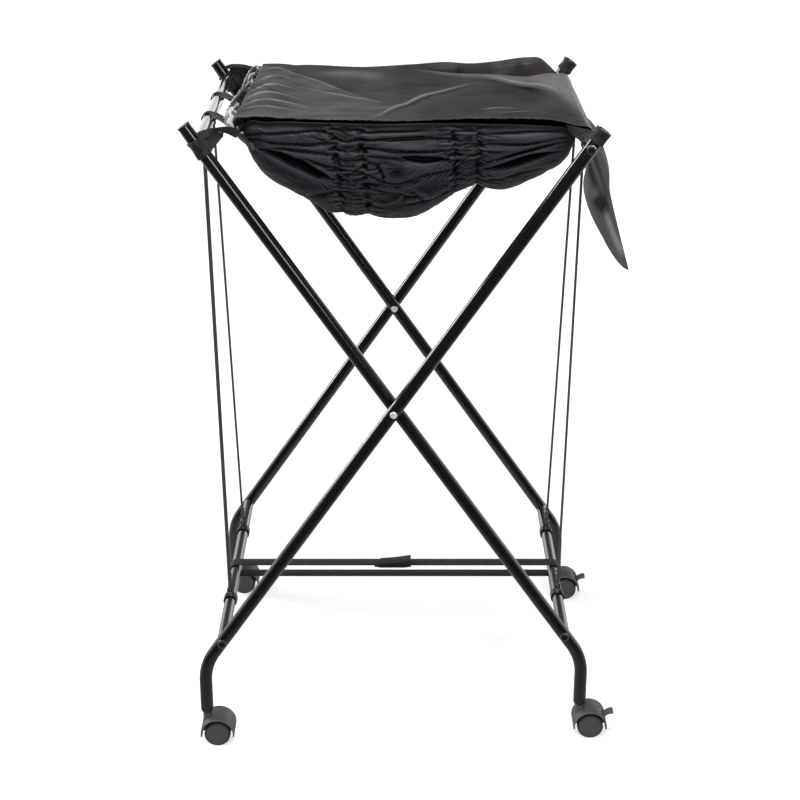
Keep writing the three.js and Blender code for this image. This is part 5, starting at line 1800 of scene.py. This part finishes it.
# Right side: the bag's hem is sewn into a casing round the crossbar.
casing_y = np.linspace(-0.198, 0.192, 120)
c, s = (way[None] for way in circle(40))
ripple = 0.0003 * noise(casing_y[:, None] / 0.008, c * 2, 51)
ripple += 0.0005 * noise(casing_y[:, None] / 0.03, s * 1.5, 52)
casing_radius = np.concatenate([0.0089 + ripple, 0.0084 + 0 * ripple])
casing_line = np.concatenate([casing_y, casing_y[::-1]])[:, None] + 0 * casing_radius
casing = bar_at["top_right"] + np.stack([casing_radius * c, casing_line, casing_radius * s], -1)
make(
    "bag_right_casing", [patch(casing, around=True, along=True)], bag_nylon, "outer_frame",
    crease=70,
)

# A facing of the lid's satin is sewn inside the back rim. Its folds get painted shade and
# its sags a painted sheen.
facing_x = np.linspace(-0.205, 0.2175, 190)
facing_down = np.linspace(0, 1, 28)[:, None]
facing_depth = np.minimum(0.036, 0.6 * curve_through(facing_x, DEPTH_AT, DEPTH))
facing_sag = 0.0016 * noise(facing_x / 0.028, 1.6 * facing_down, 71)
facing_sag += 0.0008 * noise(facing_x / 0.011, 2.5 * facing_down, 72)
facing_in = 0.0012 + 0.0034 * np.sin(clamped(4 * facing_down) * QUARTER_TURN)
facing = np.stack([
    facing_x + 0 * facing_down,
    BAG_BACK - facing_in - facing_sag * clamped(5 * facing_down),
    curve_through(facing_x, *BACK_RIM) - 0.0004 - facing_depth * facing_down,
], -1)
back_ties.append(cloth_piece(
    "bag_back_facing", facing, lid_satin, "bag",
    uv=(np.linspace(0, 0.036, 28), facing_x - facing_x[0]),
    hollow=0.6 * hollows(facing, -Y_AXIS), nap=0.10 + 90 * clamped(facing_sag),
))

# Dividers between the three compartments hang from the rim to the floor of the bag.
for number, divider_x in enumerate((-0.078, 0.077), 1):
    column = int(np.argmin(np.abs(bag_smooth[0, :, 0] - divider_x)))
    profile = bag_cloth[:, column]
    front, back = profile[: len(profile) // 2][::2], profile[::-1][: len(profile) // 2][::2]
    count = min(len(front), len(back))
    share = np.linspace(0, 1, 60)[None, :, None]
    wall = front[:count, None] * (1 - share) + back[:count, None] * share
    slack = 0.0035 * noise(wall[..., 1] / 0.03, wall[..., 2] / 0.012, 60 + number)
    wall[..., 0] += slack * np.sin(share[..., 0] * math.pi)
    inward = eased(clamped(np.minimum(share[..., 0], 1 - share[..., 0]) / 0.07))
    wall[..., 2] -= 0.024 * inward * np.linspace(1, 0, count)[:, None]
    back_ties.append(cloth_piece(f"bag_divider_{number}", wall, bag_nylon, "bag",
                                 uv=(np.linspace(0, 0.2, count), np.linspace(0, 0.35, 60))))
for piece in front_ties[1:] + back_ties:
    with_bag(piece)

# ------------------------------------------------------------------ floor and light


def floor_finish(tree):
    """Matt white studio floor: white to the eye, and darker in the shadow under the object. Its
    own glow rises with the distance from the middle, where the lamps fade. In reflections it
    is a sweep of paper that ends in front of the object, so gloss stays deep on that side."""
    at = add(tree, "TexCoord").outputs["Object"]
    away = add(tree, "VectorMath", [at], operation="LENGTH").outputs["Value"]
    level = add(tree, "MapRange", [away, 0.3, 1.6, 0.58, 1.0])
    lit = add(tree, "BsdfDiffuse", {"Color": (0.8, 0.8, 0.8, 1)})
    glow = add(tree, "Emission", {"Color": (1, 1, 1, 1), "Strength": level})
    both = add(tree, "AddShader", [lit, glow])
    depth = add(tree, "SeparateXYZ", {"Vector": at}).outputs["Y"]
    near = add(tree, "MapRange", [depth, -0.7, 0.2, 0.02, 0.46])
    far = add(tree, "MapRange", [depth, 0.7, 3.0, 0.0, 0.70])
    sweep = add(tree, "Math", [near, far], operation="ADD")
    paper = add(tree, "Emission", {"Color": (1, 0.96, 0.94, 1), "Strength": sweep})
    glossy = add(tree, "LightPath").outputs["Is Glossy Ray"]
    return add(tree, "MixShader", [glossy, both, paper])


floor_mesh = bpy.data.meshes.new("floor")
floor_mesh.from_pydata([(-14, -10, 0), (14, -10, 0), (14, 18, 0), (-14, 18, 0)], [], [(0, 1, 2, 3)])
floor = bpy.data.objects.new("floor", floor_mesh)
floor.location.z = -0.0003
scene_items.link(floor)
floor_mesh.materials.append(material("matt_white_floor", None, floor_finish))
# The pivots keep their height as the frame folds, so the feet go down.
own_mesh(floor)

# The studio is white behind and beside the object and dark on the side it is seen from.
world = bpy.data.worlds.new("studio")
bpy.context.scene.world = world
world.use_nodes = True
sky = world.node_tree
sky.nodes.clear()
rays = add(sky, "LightPath").outputs
mirrored = add(
    sky, "Math", [rays["Is Glossy Ray"], rays["Is Transmission Ray"]], operation="MAXIMUM",
)
way = add(sky, "SeparateXYZ", {"Vector": add(sky, "TexCoord").outputs["Generated"]}).outputs
back_wall = add(sky, "MapRange", [way["Y"], -0.35, 0.35, 0.02, 1.0])
below_top = add(sky, "MapRange", [way["Z"], 0.16, 0.42, 1.0, 0.12])
wall = add(sky, "Math", [back_wall, below_top], operation="MULTIPLY")
dim = add(sky, "Mix", {"Factor": mirrored, "A": 0.18, "B": wall}, data_type="FLOAT")
level = add(sky, "Mix", {"Factor": rays["Is Camera Ray"], "A": dim, "B": 1.0}, data_type="FLOAT")
white = add(sky, "Background", {"Color": (1, 1, 1, 1), "Strength": level})
add(sky, "OutputWorld", {"Surface": white})


def lamp(name, size, power, at, aim):
    """Rectangular area lamp at a place, turned to face another."""
    light = bpy.data.lights.new(name, "AREA")
    light.shape = "RECTANGLE"
    light.size, light.size_y = size
    light.energy = power
    holder = bpy.data.objects.new(name, light)
    away = np.array(aim, float) - at
    flat = math.hypot(away[0], away[1])
    holder.location = at
    holder.rotation_euler = (math.atan2(flat, -away[2]), 0, math.atan2(-away[0], away[1]))
    scene_items.link(holder)


lamp("overhead", (1.0, 1.0), 30.5, (0.1, -0.75, 2.7), (0, 0, 0.5))
lamp("front_fill", (1.8, 0.9), 15, (-0.7, -2.3, 2.3), (0.0, 0.0, 0.6))
lamp("right_strip", (0.42, 1.4), 11, (0.95, -1.9, 1.5), (0.0, 0.0, 0.7))
lamp("left_rim", (0.50, 1.5), 25, (-1.9, 0.8, 1.45), (0.0, 0.0, 0.7))
